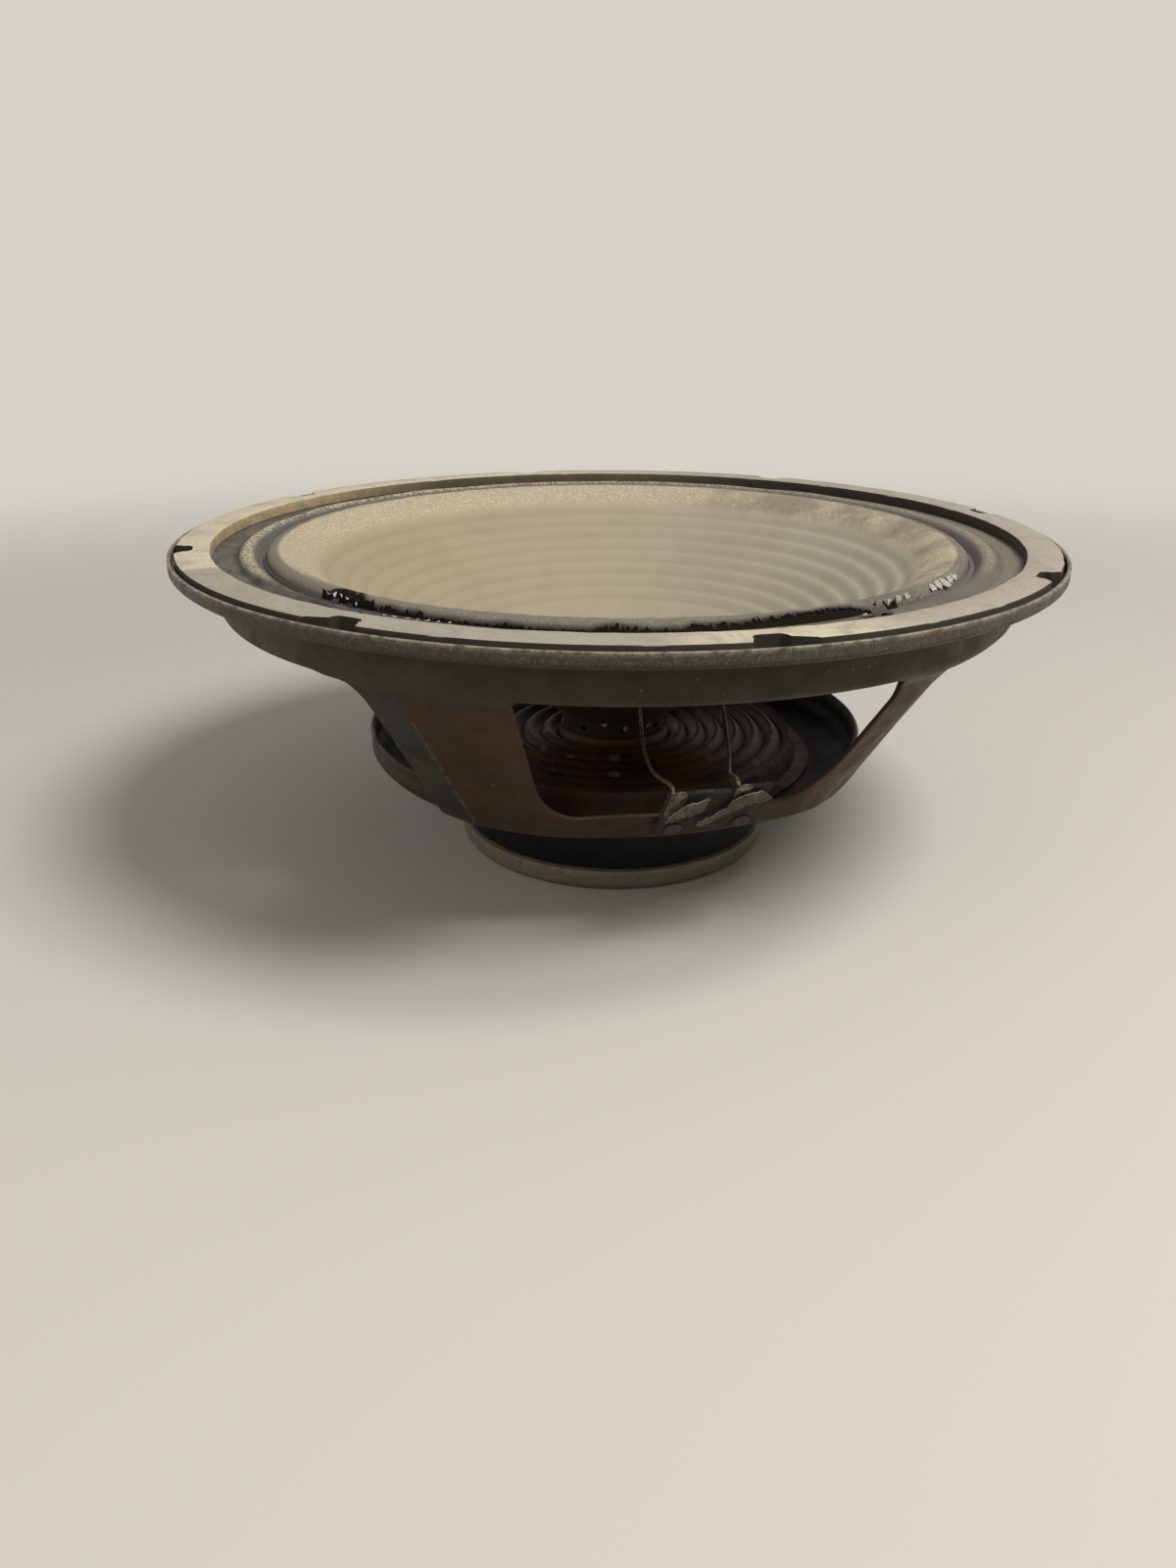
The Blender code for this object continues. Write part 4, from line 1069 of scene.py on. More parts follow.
def makeTape(name, shares, seed):
    # a torn scrap of cloth tape, ragged all round and lifting from the board
    sizes = boardSizes
    low = sizes["clear"] * 3 + sizes["thick"] + sizes["lugThick"]
    rim = [Vector((x * sizes["half"], y * sizes["above"])) for x, y in shares]
    ragged = []
    for a, b in zip(rim, rim[1:] + rim[:1]):
        count = max(2, round((b - a).length / 0.0006))
        for step in range(count):
            point = a.lerp(b, step / count)
            rough = noise.noise(Vector((point.x * 1400, point.y * 1400, seed))) * 0.0006
            ragged.append(point + Vector((rough, -rough * 0.7)))
    points, steps = list(ragged), 0.0008
    ring = np.array([tuple(p) for p in ragged])
    x = ring[:, 0].min()
    while x < ring[:, 0].max():
        y = ring[:, 1].min()
        while y < ring[:, 1].max():
            if inRing(ring, x, y) and np.hypot(ring[:, 0] - x, ring[:, 1] - y).min() > steps * 0.5:
                points.append(Vector((x, y)))
            y += steps
        x += steps
    edges = [(i, (i + 1) % len(ragged)) for i in range(len(ragged))]
    verts, _, faces, *_ = geometry.delaunay_2d_cdt(points, edges, [], 0, tiny)
    shape = bmesh.new()
    made = []
    for p in verts:
        lift = (0.5 + 0.5 * noise.noise(Vector((p.x * 160, p.y * 160, seed)))) * 0.0011
        crease = abs(noise.noise(Vector((p.x * 420, p.y * 420, seed + 5)))) * 0.0008
        made.append(shape.verts.new((p.x, p.y, low + lift + crease)))
    for face in faces:
        middle = sum((verts[i] for i in face), Vector((0, 0))) / len(face)
        if inRing(ring, middle.x, middle.y):
            shape.faces.new([made[i] for i in face])
    bmesh.ops.delete(shape, geom=[v for v in shape.verts if not v.link_faces], context="VERTS")
    bmesh.ops.recalc_face_normals(shape, faces=shape.faces)
    bmesh.ops.solidify(shape, geom=list(shape.faces), thickness=-0.00035)
    return makeObject(name, placed(shape, boardFrame()), sharpAngle=70)


for seed, (name, shares) in enumerate(tapeShapes.items(), 1):
    finish(makeTape("tapeScrap" + name.capitalize(), shares, seed), "tape_cloth", "frame", "tape_" + name)


print("leads")
leadSizes = dict(circle=0.049, azimuths=(10.0, 47.0), eyelet=0.0011, head=0.0021, headHeight=0.0006,
                 lead=0.0006, wire=0.0005, sides=12,
                 routes=([(0.056, 9.8, 0.0600), (0.067, 8.8, 0.0572), (0.080, 8.4, 0.0566),
                          (0.092, 8.5, 0.0580)],
                         [(0.057, 43.0, 0.0585), (0.068, 35.0, 0.0550), (0.080, 28.5, 0.0540),
                          (0.091, 24.0, 0.0560), (0.099, 21.8, 0.0590)]))


def eyeletFrame(azimuth):
    tilt = math.atan(coneSizes["slope"])
    outward = polar(1, azimuth, 0)
    normal = (Vector((0, 0, math.cos(tilt))) - outward * math.sin(tilt)).normalized()
    sideways = polar(1, azimuth + 90, 0)
    matrix = Matrix((sideways, normal.cross(sideways), normal)).transposed().to_4x4()
    matrix.translation = polar(leadSizes["circle"], azimuth, coneFront(leadSizes["circle"]))
    return matrix


def makeEyelet(name, azimuth):
    wall, gap = coneSizes["wall"], 0.0003
    shank, head, high = leadSizes["eyelet"], leadSizes["head"], leadSizes["headHeight"]
    outline = [(0, -wall - gap - high), (head * 0.8, -wall - gap - high), (head, -wall - gap - high * 0.5),
               (head, -wall - gap), (shank, -wall - gap), (shank, gap), (head, gap),
               (head, gap + high * 0.5), (head * 0.75, gap + high), (0.0009, gap + high),
               (0.0006, gap + high * 0.5), (0, gap + high * 0.45)]
    return makeObject(name, placed(spun(outline, 32, closed=False), eyeletFrame(azimuth)))


def makeCoilWire(name, azimuth):
    place = eyeletFrame(azimuth)
    down = (place @ Vector((0, 1, 0)) - place.translation).normalized()
    if down.z > 0:
        down = -down
    normal = place.to_3x3().col[2]
    radius = leadSizes["wire"]
    reach = (leadSizes["circle"] - capSizes["radius"]) * math.sqrt(1 + coneSizes["slope"] ** 2)
    first = place.translation + normal * (radius + 0.0003) + down * (leadSizes["head"] + 0.0003)
    last = place.translation + normal * (radius + 0.0003) + down * (reach - 0.0012)
    middle = (first + last) / 2 + normal * 0.0006
    line = smoothLine([first, middle, last], 0.0008)
    return makeObject(name, tubeAlong(line, radius, leadSizes["sides"]), sharpAngle=60)


def makeLead(name, azimuth, lug, route):
    sizes = boardSizes
    place = eyeletFrame(azimuth)
    normal = place.to_3x3().col[2]
    board = boardFrame()
    start = place @ Vector((0, 0, -(coneSizes["wall"] + 0.0006 + leadSizes["headHeight"])))
    end = board @ Vector((lug - 0.0018, sizes["above"] + sizes["lugAbove"] / 2,
                          sizes["thick"] + sizes["clear"]))
    arrive = end - board.to_3x3().col[2] * 0.003
    bends = [polar(*spot) for spot in route]
    points = smoothLine([start, start - normal * 0.003, *bends, arrive, end], 0.0009)
    piece = makeObject(name, tubeAlong(points, leadSizes["lead"], leadSizes["sides"]), sharpAngle=60)
    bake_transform(piece, "frame", "cone_assembly", end, start)
    lengths = np.cumsum([0.0] + [(b - a).length for a, b in zip(points, points[1:])])
    lengths /= lengths[-1]
    weights = np.repeat(1 - lengths, leadSizes["sides"])
    weights = weights * weights * (3 - 2 * weights)
    piece.data.attributes["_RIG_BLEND"].data.foreach_set("value", weights.astype(np.float32))
    return piece


for index, side in enumerate(("left", "right")):
    azimuth = leadSizes["azimuths"][index]
    label = side.capitalize()
    finish(makeEyelet("eyelet" + label, azimuth), "eyelet_brass", "cone_assembly", "eyelet_" + side)
    finish(makeCoilWire("coilWire" + label, azimuth), "enamelled_copper", "cone_assembly",
           "coil_wire_" + side)
    finish(makeLead("lead" + label, azimuth, boardSizes["lugs"][index], leadSizes["routes"][index]),
           "tinsel_braid", None, "lead_" + side)


print("materials")


def tone(red, green, blue):
    # a screen colour, as the shader wants it
    values = [value / 255 for value in (red, green, blue)]
    return (*[v / 12.92 if v <= 0.04045 else ((v + 0.055) / 1.055) ** 2.4 for v in values], 1)


def addNode(tree, kind, values=None, **settings):
    node = tree.nodes.new(kind)
    for name, value in settings.items():
        setattr(node, name, value)
    for name, value in (values or {}).items():
        if isinstance(value, bpy.types.NodeSocket):
            tree.links.new(value, node.inputs[name])
        else:
            node.inputs[name].default_value = value
    return node


def mix(tree, amount, first, second):
    return addNode(tree, "ShaderNodeMix", {0: amount, 6: first, 7: second}, data_type="RGBA").outputs[2]


def calc(tree, operation, first, second=0.0):
    return addNode(tree, "ShaderNodeMath", {0: first, 1: second}, operation=operation).outputs[0]


def times(tree, first, *others):
    for other in others:
        first = calc(tree, "MULTIPLY", first, other)
    return first


def calcVector(tree, operation, *values):
    return addNode(tree, "ShaderNodeVectorMath", dict(enumerate(values)), operation=operation).outputs


def parted(tree, value):
    # the X, Y and Z of a vector
    return addNode(tree, "ShaderNodeSeparateXYZ", {0: value}).outputs


def facingUp(tree):
    return parted(tree, addNode(tree, "ShaderNodeNewGeometry").outputs["Normal"])[2]


def ramp(tree, value, low, high, start=0.0, end=1.0):
    return addNode(tree, "ShaderNodeMapRange", {"Value": value, "From Min": low, "From Max": high,
                                                "To Min": start, "To Max": end},
                   interpolation_type="SMOOTHSTEP").outputs[0]


def between(tree, value, low, full, fall, high):
    # rises from low to full, and falls away again from fall to high
    return times(tree, ramp(tree, value, low, full), ramp(tree, value, high, fall))


def painted(tree, name):
    return addNode(tree, "ShaderNodeAttribute", attribute_name=name).outputs["Fac"]


def newGroup(name, inputs, outputs):
    group = bpy.data.node_groups.new(name, "ShaderNodeTree")
    for label, kind, value in inputs:
        socket = group.interface.new_socket(label, in_out="INPUT", socket_type="NodeSocket" + kind)
        if value is not None:
            socket.default_value = value
    for label, kind in outputs:
        group.interface.new_socket(label, in_out="OUTPUT", socket_type="NodeSocket" + kind)
    entry = group.nodes.new("NodeGroupInput")
    leave = group.nodes.new("NodeGroupOutput")
    return group, entry.outputs, leave.inputs


def makeMottle():
    # soft patches of one colour in another
    group, given, result = newGroup("mottle", [("Vector", "Vector", None), ("Scale", "Float", 200.0),
                                               ("Low", "Float", 0.4), ("High", "Float", 0.6)],
                                    [("Mask", "Float")])
    grain = addNode(group, "ShaderNodeTexNoise", {"Vector": given["Vector"], "Scale": given["Scale"],
                                                  "Detail": 5.0, "Roughness": 0.62})
    mask = ramp(group, grain.outputs["Fac"], given["Low"], given["High"])
    group.links.new(mask, result["Mask"])


def makeSpecks():
    # separate specks, in some of the cells only
    group, given, result = newGroup("specks", [("Vector", "Vector", None), ("Scale", "Float", 500.0),
                                               ("Size", "Float", 0.3), ("Share", "Float", 0.4)],
                                    [("Mask", "Float")])
    wobble = addNode(group, "ShaderNodeTexNoise", {"Vector": given["Vector"], "Scale": given["Scale"],
                                                   "Detail": 2.0})
    cells = addNode(group, "ShaderNodeTexVoronoi", {"Vector": given["Vector"], "Scale": given["Scale"]})
    uneven = ramp(group, wobble.outputs["Fac"], 0.2, 0.8, -0.15, 0.15)
    reach = calc(group, "ADD", cells.outputs["Distance"], uneven)
    spot = ramp(group, calc(group, "SUBTRACT", given["Size"], reach), 0.0, 0.12)
    parts = addNode(group, "ShaderNodeSeparateColor", {0: cells.outputs["Color"]})
    chosen = calc(group, "LESS_THAN", parts.outputs[0], given["Share"])
    group.links.new(calc(group, "MULTIPLY", spot, chosen), result["Mask"])


def makeRingSpace():
    # stretches a pattern round the axis, across it and up it, each by its own amount, with no seam
    group, given, result = newGroup("ringSpace", [("Vector", "Vector", None), ("Around", "Float", 1.0),
                                                  ("Across", "Float", 1.0), ("Upward", "Float", 1.0)],
                                    [("Vector", "Vector"), ("Radius", "Float"), ("Height", "Float"),
                                     ("Side", "Float"), ("Front", "Float")])
    x, y, height = parted(group, given["Vector"])
    flat = addNode(group, "ShaderNodeCombineXYZ", {0: x, 1: y}).outputs[0]
    radius = calcVector(group, "LENGTH", flat)["Value"]
    side, back, _ = parted(group, calcVector(group, "NORMALIZE", flat)[0])
    lift = calc(group, "ADD", times(group, radius, given["Across"]), times(group, height, given["Upward"]))
    laid = addNode(group, "ShaderNodeCombineXYZ", {0: times(group, side, given["Around"]),
                                                   1: times(group, back, given["Around"]), 2: lift})
    group.links.new(laid.outputs[0], result["Vector"])
    group.links.new(radius, result["Radius"])
    group.links.new(height, result["Height"])
    group.links.new(side, result["Side"])
    group.links.new(times(group, back, -1.0), result["Front"])


def makeFibre():
    # felted paper pulp: fine hairs over soft lumps
    group, given, result = newGroup("fibre", [("Vector", "Vector", None), ("Scale", "Float", 600.0)],
                                    [("Mask", "Float"), ("Height", "Float")])
    hairs = addNode(group, "ShaderNodeTexNoise", {"Vector": given["Vector"], "Scale": given["Scale"],
                                                  "Detail": 7.0, "Roughness": 0.7, "Distortion": 1.6})
    lumps = addNode(group, "ShaderNodeTexNoise",
                    {"Vector": given["Vector"], "Scale": calc(group, "MULTIPLY", given["Scale"], 0.22),
                     "Detail": 3.0})
    height = calc(group, "ADD", calc(group, "MULTIPLY", hairs.outputs["Fac"], 0.6),
                   calc(group, "MULTIPLY", lumps.outputs["Fac"], 0.4))
    group.links.new(ramp(group, height, 0.36, 0.64), result["Mask"])
    group.links.new(height, result["Height"])


def makeWeave():
    # plain weave lying level, with uneven threads
    group, given, result = newGroup("weave", [("Vector", "Vector", None), ("Pitch", "Float", 0.0009)],
                                    [("Mask", "Float"), ("Height", "Float")])
    drift = addNode(group, "ShaderNodeTexNoise", {"Vector": given["Vector"], "Scale": 120.0, "Detail": 2.0})
    shift = calcVector(group, "MULTIPLY", drift.outputs["Color"], (0.0012, 0.0012, 0.0012))[0]
    x, y, _ = parted(group, calcVector(group, "ADD", given["Vector"], shift)[0])
    turns = calc(group, "DIVIDE", math.pi, given["Pitch"])
    warp = calc(group, "SINE", times(group, x, turns))
    weft = calc(group, "SINE", times(group, y, turns))
    height = calc(group, "ADD", times(group, warp, weft, 0.5), 0.5)
    group.links.new(ramp(group, height, 0.25, 0.75), result["Mask"])
    group.links.new(height, result["Height"])


def makeDust():
    # settles on faces that look up, in clouds
    group, given, result = newGroup("dust", [("Vector", "Vector", None), ("Scale", "Float", 60.0),
                                             ("Amount", "Float", 0.5)], [("Mask", "Float")])
    level = ramp(group, facingUp(group), 0.35, 0.95)
    clouds = addNode(group, "ShaderNodeTexNoise", {"Vector": given["Vector"], "Scale": given["Scale"],
                                                   "Detail": 6.0, "Roughness": 0.65})
    patch = ramp(group, clouds.outputs["Fac"], 0.3, 0.7)
    group.links.new(times(group, level, patch, given["Amount"]), result["Mask"])


for makeEffect in (makeMottle, makeSpecks, makeRingSpace, makeFibre, makeWeave, makeDust):
    makeEffect()


def effect(tree, name, **values):
    node = tree.nodes.new("ShaderNodeGroup")
    node.node_tree = bpy.data.node_groups[name]
    for label, value in values.items():
        if isinstance(value, bpy.types.NodeSocket):
            tree.links.new(value, node.inputs[label])
        else:
            node.inputs[label].default_value = value
    return node.outputs


def mottle(tree, spot, scale, low, high):
    return effect(tree, "mottle", Vector=spot, Scale=scale, Low=low, High=high)["Mask"]


def specks(tree, spot, scale, size, amount):
    return effect(tree, "specks", Vector=spot, Scale=scale, Size=size, Share=amount)["Mask"]


def newMaterial(name, roughness=0.6, metallic=0.0, coat=0.0):
    material = bpy.data.materials.new(name)
    material.use_nodes = True
    tree = material.node_tree
    shader = tree.nodes["Principled BSDF"]
    shader.inputs["Roughness"].default_value = roughness
    shader.inputs["Metallic"].default_value = metallic
    shader.inputs["Coat Weight"].default_value = coat
    return material, tree, shader, addNode(tree, "ShaderNodeTexCoord").outputs["Object"]


def dress(tree, shader, colour, roughness=None, height=None, relief=0.0003, strength=0.6):
    tree.links.new(colour, shader.inputs["Base Color"])
    if roughness is not None:
        tree.links.new(roughness, shader.inputs["Roughness"])
    if height is not None:
        bump = addNode(tree, "ShaderNodeBump", {"Height": height, "Distance": relief, "Strength": strength})
        tree.links.new(bump.outputs[0], shader.inputs["Normal"])


lacquerTones = dict(copper=tone(82, 55, 24), copperDark=tone(62, 41, 18), drum=tone(70, 62, 45),
                    drumDark=tone(66, 60, 48), rim=tone(78, 74, 65), fleck=tone(140, 134, 120),
                    flank=tone(64, 60, 49), flankDark=tone(42, 40, 31), flankBrown=tone(70, 54, 38),
                    inside=tone(40, 37, 30), bare=tone(150, 140, 120), rust=tone(128, 66, 38),
                    green=tone(120, 112, 84), low=tone(44, 25, 8))


def makeLacquer():
    material, tree, shader, spot = newMaterial("bronzeLacquer", coat=0.05)
    shader.inputs["Specular IOR Level"].default_value = 0.3
    shader.inputs["Coat Roughness"].default_value = 0.45
    colours = lacquerTones
    ring = effect(tree, "ringSpace", Vector=spot, Around=0.12, Across=1.0, Upward=1.0)
    colour = mix(tree, mottle(tree, spot, 26, 0.36, 0.66), colours["copper"], colours["copperDark"])
    colour = mix(tree, times(tree, mottle(tree, spot, 1500, 0.5, 0.62), 0.25), colour, colours["drum"])
    drum = ramp(tree, ring["Height"], 0.0895, 0.0945)
    drumColour = mix(tree, mottle(tree, spot, 40, 0.35, 0.7), colours["drum"], colours["drumDark"])
    grit = times(tree, specks(tree, spot, 1100, 0.35, 0.5), 0.25)
    drumColour = mix(tree, grit, drumColour, colours["rim"])
    rim = ramp(tree, ring["Height"], 0.1095, 0.1112)
    rimColour = mix(tree, mottle(tree, spot, 420, 0.40, 0.62), colours["rim"], colours["drum"])
    flecks = times(tree, mottle(tree, spot, 1700, 0.52, 0.62), 0.45)
    rimColour = mix(tree, flecks, rimColour, colours["fleck"])
    flank = painted(tree, "flank")
    flankColour = mix(tree, mottle(tree, spot, 60, 0.4, 0.62), colours["flank"], colours["flankDark"])
    flankColour = mix(tree, ramp(tree, ring["Side"], 0.2, 0.5), flankColour, colours["flankBrown"])
    colour = mix(tree, flank, colour, flankColour)
    colour = mix(tree, drum, colour, mix(tree, rim, drumColour, rimColour))
    # darker brown towards the bottom of the basket: painted shade
    low = ramp(tree, ring["Height"], 0.050, 0.043)
    colour = mix(tree, times(tree, low, 0.5), colour, colours["low"])
    # a streak of rust under the rim at the right, and a worn green patch on it at the left
    edge = between(tree, ring["Height"], 0.1068, 0.1080, 0.1096, 0.1108)
    streak = times(tree, between(tree, ring["Side"], 0.60, 0.66, 0.76, 0.84), edge,
                   ramp(tree, ring["Front"], 0.2, 0.4), mottle(tree, spot, 160, 0.3, 0.6))
    colour = mix(tree, times(tree, streak, 0.9), colour, colours["rust"])
    worn = times(tree, between(tree, ring["Side"], -0.80, -0.76, -0.72, -0.68), rim,
                 ramp(tree, ring["Front"], 0.4, 0.5), mottle(tree, spot, 260, 0.4, 0.6))
    colour = mix(tree, times(tree, worn, 0.7), colour, colours["green"])
    # rust comes up in a few places on the drum and rim, most on the right
    rust = times(tree, drum, ramp(tree, ring["Side"], -0.6, 0.8), mottle(tree, spot, 22, 0.60, 0.70),
                 mottle(tree, spot, 420, 0.42, 0.58))
    colour = mix(tree, rust, colour, colours["rust"])
    green = times(tree, rim, ramp(tree, ring["Side"], 0.2, -0.7), mottle(tree, spot, 30, 0.64, 0.72))
    colour = mix(tree, green, colour, colours["green"])
    # bare metal where the paint is worn, which also serves as a painted highlight along the ridges and the
    # lip
    worn = times(tree, painted(tree, "wear"), mottle(tree, spot, 300, 0.38, 0.6))
    chips = times(tree, specks(tree, spot, 420, 0.2, 0.08), ramp(tree, ring["Height"], 0.04, 0.06))
    colour = mix(tree, calc(tree, "MAXIMUM", worn, times(tree, chips, 0.6)), colour, colours["bare"])
    # the basket's inner faces are painted dark: painted shade
    colour = mix(tree, times(tree, painted(tree, "inside"), 0.9), colour, colours["inside"])
    dust = effect(tree, "dust", Vector=spot, Scale=70.0, Amount=0.2)["Mask"]
    colour = mix(tree, dust, colour, colours["fleck"])
    grain = calc(tree, "ADD", times(tree, mottle(tree, spot, 900, 0.3, 0.7), 0.5),
                  times(tree, mottle(tree, spot, 2600, 0.3, 0.7), 0.5))
    rough = ramp(tree, mottle(tree, spot, 130, 0.3, 0.7), 0, 1, 0.42, 0.62)
    dress(tree, shader, colour, rough, grain, 0.00022, 0.55)
    return material


gasketTones = dict(card=tone(163, 155, 141), cream=tone(206, 196, 172), pink=tone(168, 159, 148),
                   dark=tone(132, 123, 108), tan=tone(174, 153, 118), side=tone(86, 76, 58),
                   wallMottleAndShade=tone(44, 40, 32), scratch=tone(112, 98, 76), wear=tone(196, 187, 162))


def makeCard():
    material, tree, shader, spot = newMaterial("gasketCard", 0.9)
    colours = gasketTones
    ring = effect(tree, "ringSpace", Vector=spot, Around=0.05, Across=1.0, Upward=1.0)
    leftOnly = times(tree, ramp(tree, ring["Front"], 0.505, 0.485), ramp(tree, ring["Side"], 0.4, -0.4))
    colour = mix(tree, leftOnly, colours["card"], colours["cream"])
    colour = mix(tree, ramp(tree, ring["Side"], 0.3, 1.0), colour, colours["pink"])
    strands = times(tree, mottle(tree, ring["Vector"], 1300, 0.42, 0.62), 0.30)
    colour = mix(tree, strands, colour, colours["dark"])
    colour = mix(tree, times(tree, mottle(tree, spot, 1500, 0.45, 0.62), 0.25), colour, colours["dark"])
    colour = mix(tree, times(tree, mottle(tree, spot, 90, 0.45, 0.66), 0.35), colour, colours["dark"])
    # a worn, cracked patch at the front, right of the middle
    patch = times(tree, between(tree, ring["Side"], 0.06, 0.18, 0.40, 0.56),
                  ramp(tree, ring["Front"], 0.3, 0.5), mottle(tree, spot, 110, 0.30, 0.55))
    colour = mix(tree, times(tree, patch, 0.85), colour, colours["wear"])
    lines = effect(tree, "ringSpace", Vector=spot, Around=0.7, Across=0.15, Upward=0.0)
    scratch = times(tree, mottle(tree, lines["Vector"], 520, 0.60, 0.66), patch)
    colour = mix(tree, scratch, colour, colours["scratch"])
    colour = mix(tree, times(tree, specks(tree, spot, 620, 0.16, 0.2), 0.5), colour, colours["side"])
    # the card's walls carry painted light and shade: a lit tan on the inner walls at the left, painted shade
    # on the walls at the right and on the outer walls towards the rim
    upright = ramp(tree, facingUp(tree), 0.75, 0.35)
    wall = mix(tree, ramp(tree, ring["Side"], -0.55, -0.95), colours["side"], colours["tan"])
    wall = mix(tree, times(tree, mottle(tree, spot, 240, 0.35, 0.7), 0.35), wall, colours["wallMottleAndShade"])
    wall = mix(tree, ramp(tree, ring["Side"], 0.0, 0.5), wall, colours["wallMottleAndShade"])
    wall = mix(tree, ramp(tree, ring["Radius"], 0.1425, 0.1440), wall, colours["wallMottleAndShade"])
    colour = mix(tree, upright, colour, wall)
    height = effect(tree, "fibre", Vector=ring["Vector"], Scale=1500.0)["Height"]
    dress(tree, shader, colour, None, height, 0.00035, 0.5)
    return material


clothTones = dict(cloth=tone(84, 82, 78), dark=tone(46, 45, 42), crest=tone(190, 178, 152),
                  brown=tone(112, 104, 92), groove=tone(104, 102, 97), sand=tone(150, 140, 120))


def makeDopedCloth():
    material, tree, shader, spot = newMaterial("dopedCloth", 0.88)
    colours = clothTones
    ring = effect(tree, "ringSpace", Vector=spot, Around=0.10, Across=1.0, Upward=1.0)
    weave = effect(tree, "weave", Vector=spot, Pitch=0.0007)
    colour = mix(tree, mottle(tree, spot, 90, 0.35, 0.65), colours["cloth"], colours["dark"])
    colour = mix(tree, ramp(tree, ring["Side"], 0.0, 1.0, 0.0, 0.65), colour, colours["brown"])
    groove = ramp(tree, ring["Radius"], 0.1283, 0.1270)
    colour = mix(tree, times(tree, groove, 0.6), colour, colours["groove"])
    fuzz = mottle(tree, spot, 900, 0.40, 0.58)
    crest = times(tree, painted(tree, "crest"), ramp(tree, ring["Radius"], 0.1338, 0.1320))
    crest = times(tree, crest, ramp(tree, fuzz, 0.0, 1.0, 0.15, 1.0))
    crest = times(tree, crest, ramp(tree, ring["Side"], 0.9, -0.6, 0.35, 0.95))
    colour = mix(tree, crest, colour, colours["crest"])
    flat = times(tree, ramp(tree, ring["Radius"], 0.1335, 0.1350), fuzz)
    colour = mix(tree, times(tree, flat, 0.30), colour, colours["sand"])
    nap = times(tree, mottle(tree, spot, 500, 0.2, 0.8), 0.45)
    height = calc(tree, "ADD", times(tree, weave["Height"], 0.55), nap)
    dress(tree, shader, colour, None, height, 0.00025, 0.6)
    return material


coneTones = dict(left=tone(163, 150, 124), right=tone(161, 155, 139), shade=tone(142, 131, 109),
                 groove=tone(140, 129, 107), grey=tone(50, 56, 60), sand=tone(202, 188, 162),
                 dark=tone(44, 44, 42), torn=tone(16, 14, 12), back=tone(76, 66, 52),
                 brown=tone(118, 108, 93))


def makePulp():
    material, tree, shader, spot = newMaterial("conePaper", 0.92)
    colours = coneTones
    ring = effect(tree, "ringSpace", Vector=spot, Around=0.10, Across=1.0, Upward=0.4)
    fibre = effect(tree, "fibre", Vector=spot, Scale=420.0)
    across = parted(tree, spot)[0]
    # warmer on the left and greyer on the right: partly the paper's own tone, partly painted light
    colour = mix(tree, ramp(tree, across, -0.09, 0.10), colours["left"], colours["right"])
    colour = mix(tree, times(tree, fibre["Mask"], 0.22), colour, colours["shade"])
    colour = mix(tree, times(tree, mottle(tree, spot, 34, 0.45, 0.72), 0.30), colour, colours["shade"])
    # the ribs' troughs are painted darker: painted shade in the troughs, with some dust lying there
    past = calc(tree, "SUBTRACT", ring["Radius"], coneSizes["ribOuter"])
    wave = calc(tree, "COSINE", times(tree, past, 2 * math.pi / coneSizes["ribPitch"]))
    groove = times(tree, ramp(tree, wave, 0.1, 1.0),
                   between(tree, ring["Radius"], 0.0560, 0.0600, 0.1040, 0.1065))
    colour = mix(tree, times(tree, groove, 0.28), colour, colours["groove"])
    # the outer band is sandy and fuzzy, and goes grey at the front and towards its edge
    fuzz = mottle(tree, spot, 1100, 0.42, 0.58)
    band = times(tree, ramp(tree, ring["Radius"], 0.1040, 0.1100), mottle(tree, spot, 300, 0.05, 0.5))
    sandy = mix(tree, times(tree, fuzz, 0.6), colours["sand"], colours["shade"])
    stain = times(tree, ramp(tree, across, 0.0, 0.07), mottle(tree, spot, 40, 0.36, 0.62))
    sandy = mix(tree, times(tree, stain, 0.75), sandy, colours["brown"])
    colour = mix(tree, times(tree, band, 0.85), colour, sandy)
    front = ramp(tree, ring["Front"], 0.35, 0.80)
    frontGrey = times(tree, front, ramp(tree, ring["Radius"], 0.1135, 0.1185))
    outer = ramp(tree, ring["Radius"], 0.1184, 0.1200)
    grey = times(tree, calc(tree, "MAXIMUM", frontGrey, outer), ramp(tree, fuzz, 0.0, 1.0, 0.72, 1.0))
    blotch = times(tree, mottle(tree, spot, 420, 0.44, 0.62), 0.6)
    greyColour = mix(tree, blotch, colours["grey"], colours["dark"])
    greyColour = mix(tree, times(tree, fuzz, 0.32), greyColour, colours["sand"])
    colour = mix(tree, grey, colour, greyColour)
    # faces that look down are painted darker: painted shade on the cone's underside
    colour = mix(tree, ramp(tree, facingUp(tree), 0.05, -0.2), colour, colours["back"])
    colour = mix(tree, painted(tree, "torn"), colour, colours["torn"])
    rough = calc(tree, "ADD", times(tree, fibre["Height"], 0.5), times(tree, times(tree, fuzz, band), 0.7))
    dress(tree, shader, colour, None, rough, 0.0004, 0.55)
    return material


def makePlainPaper(name, base, shade, scale, relief):
    material, tree, shader, spot = newMaterial(name, 0.88)
    fibre = effect(tree, "fibre", Vector=spot, Scale=scale)
    colour = mix(tree, times(tree, fibre["Mask"], 0.45), base, shade)
    colour = mix(tree, times(tree, mottle(tree, spot, scale * 0.12, 0.5, 0.7), 0.5), colour, shade)
    colour = mix(tree, times(tree, specks(tree, spot, scale * 1.4, 0.2, 0.2), 0.5), colour, shade)
    dress(tree, shader, colour, None, fibre["Height"], relief, 0.5)
    return material


resinTones = dict(red=tone(84, 44, 18), dark=tone(34, 21, 10), grey=tone(84, 68, 44),
                  glue=tone(118, 110, 92), pink=tone(150, 104, 84), black=tone(10, 9, 8))


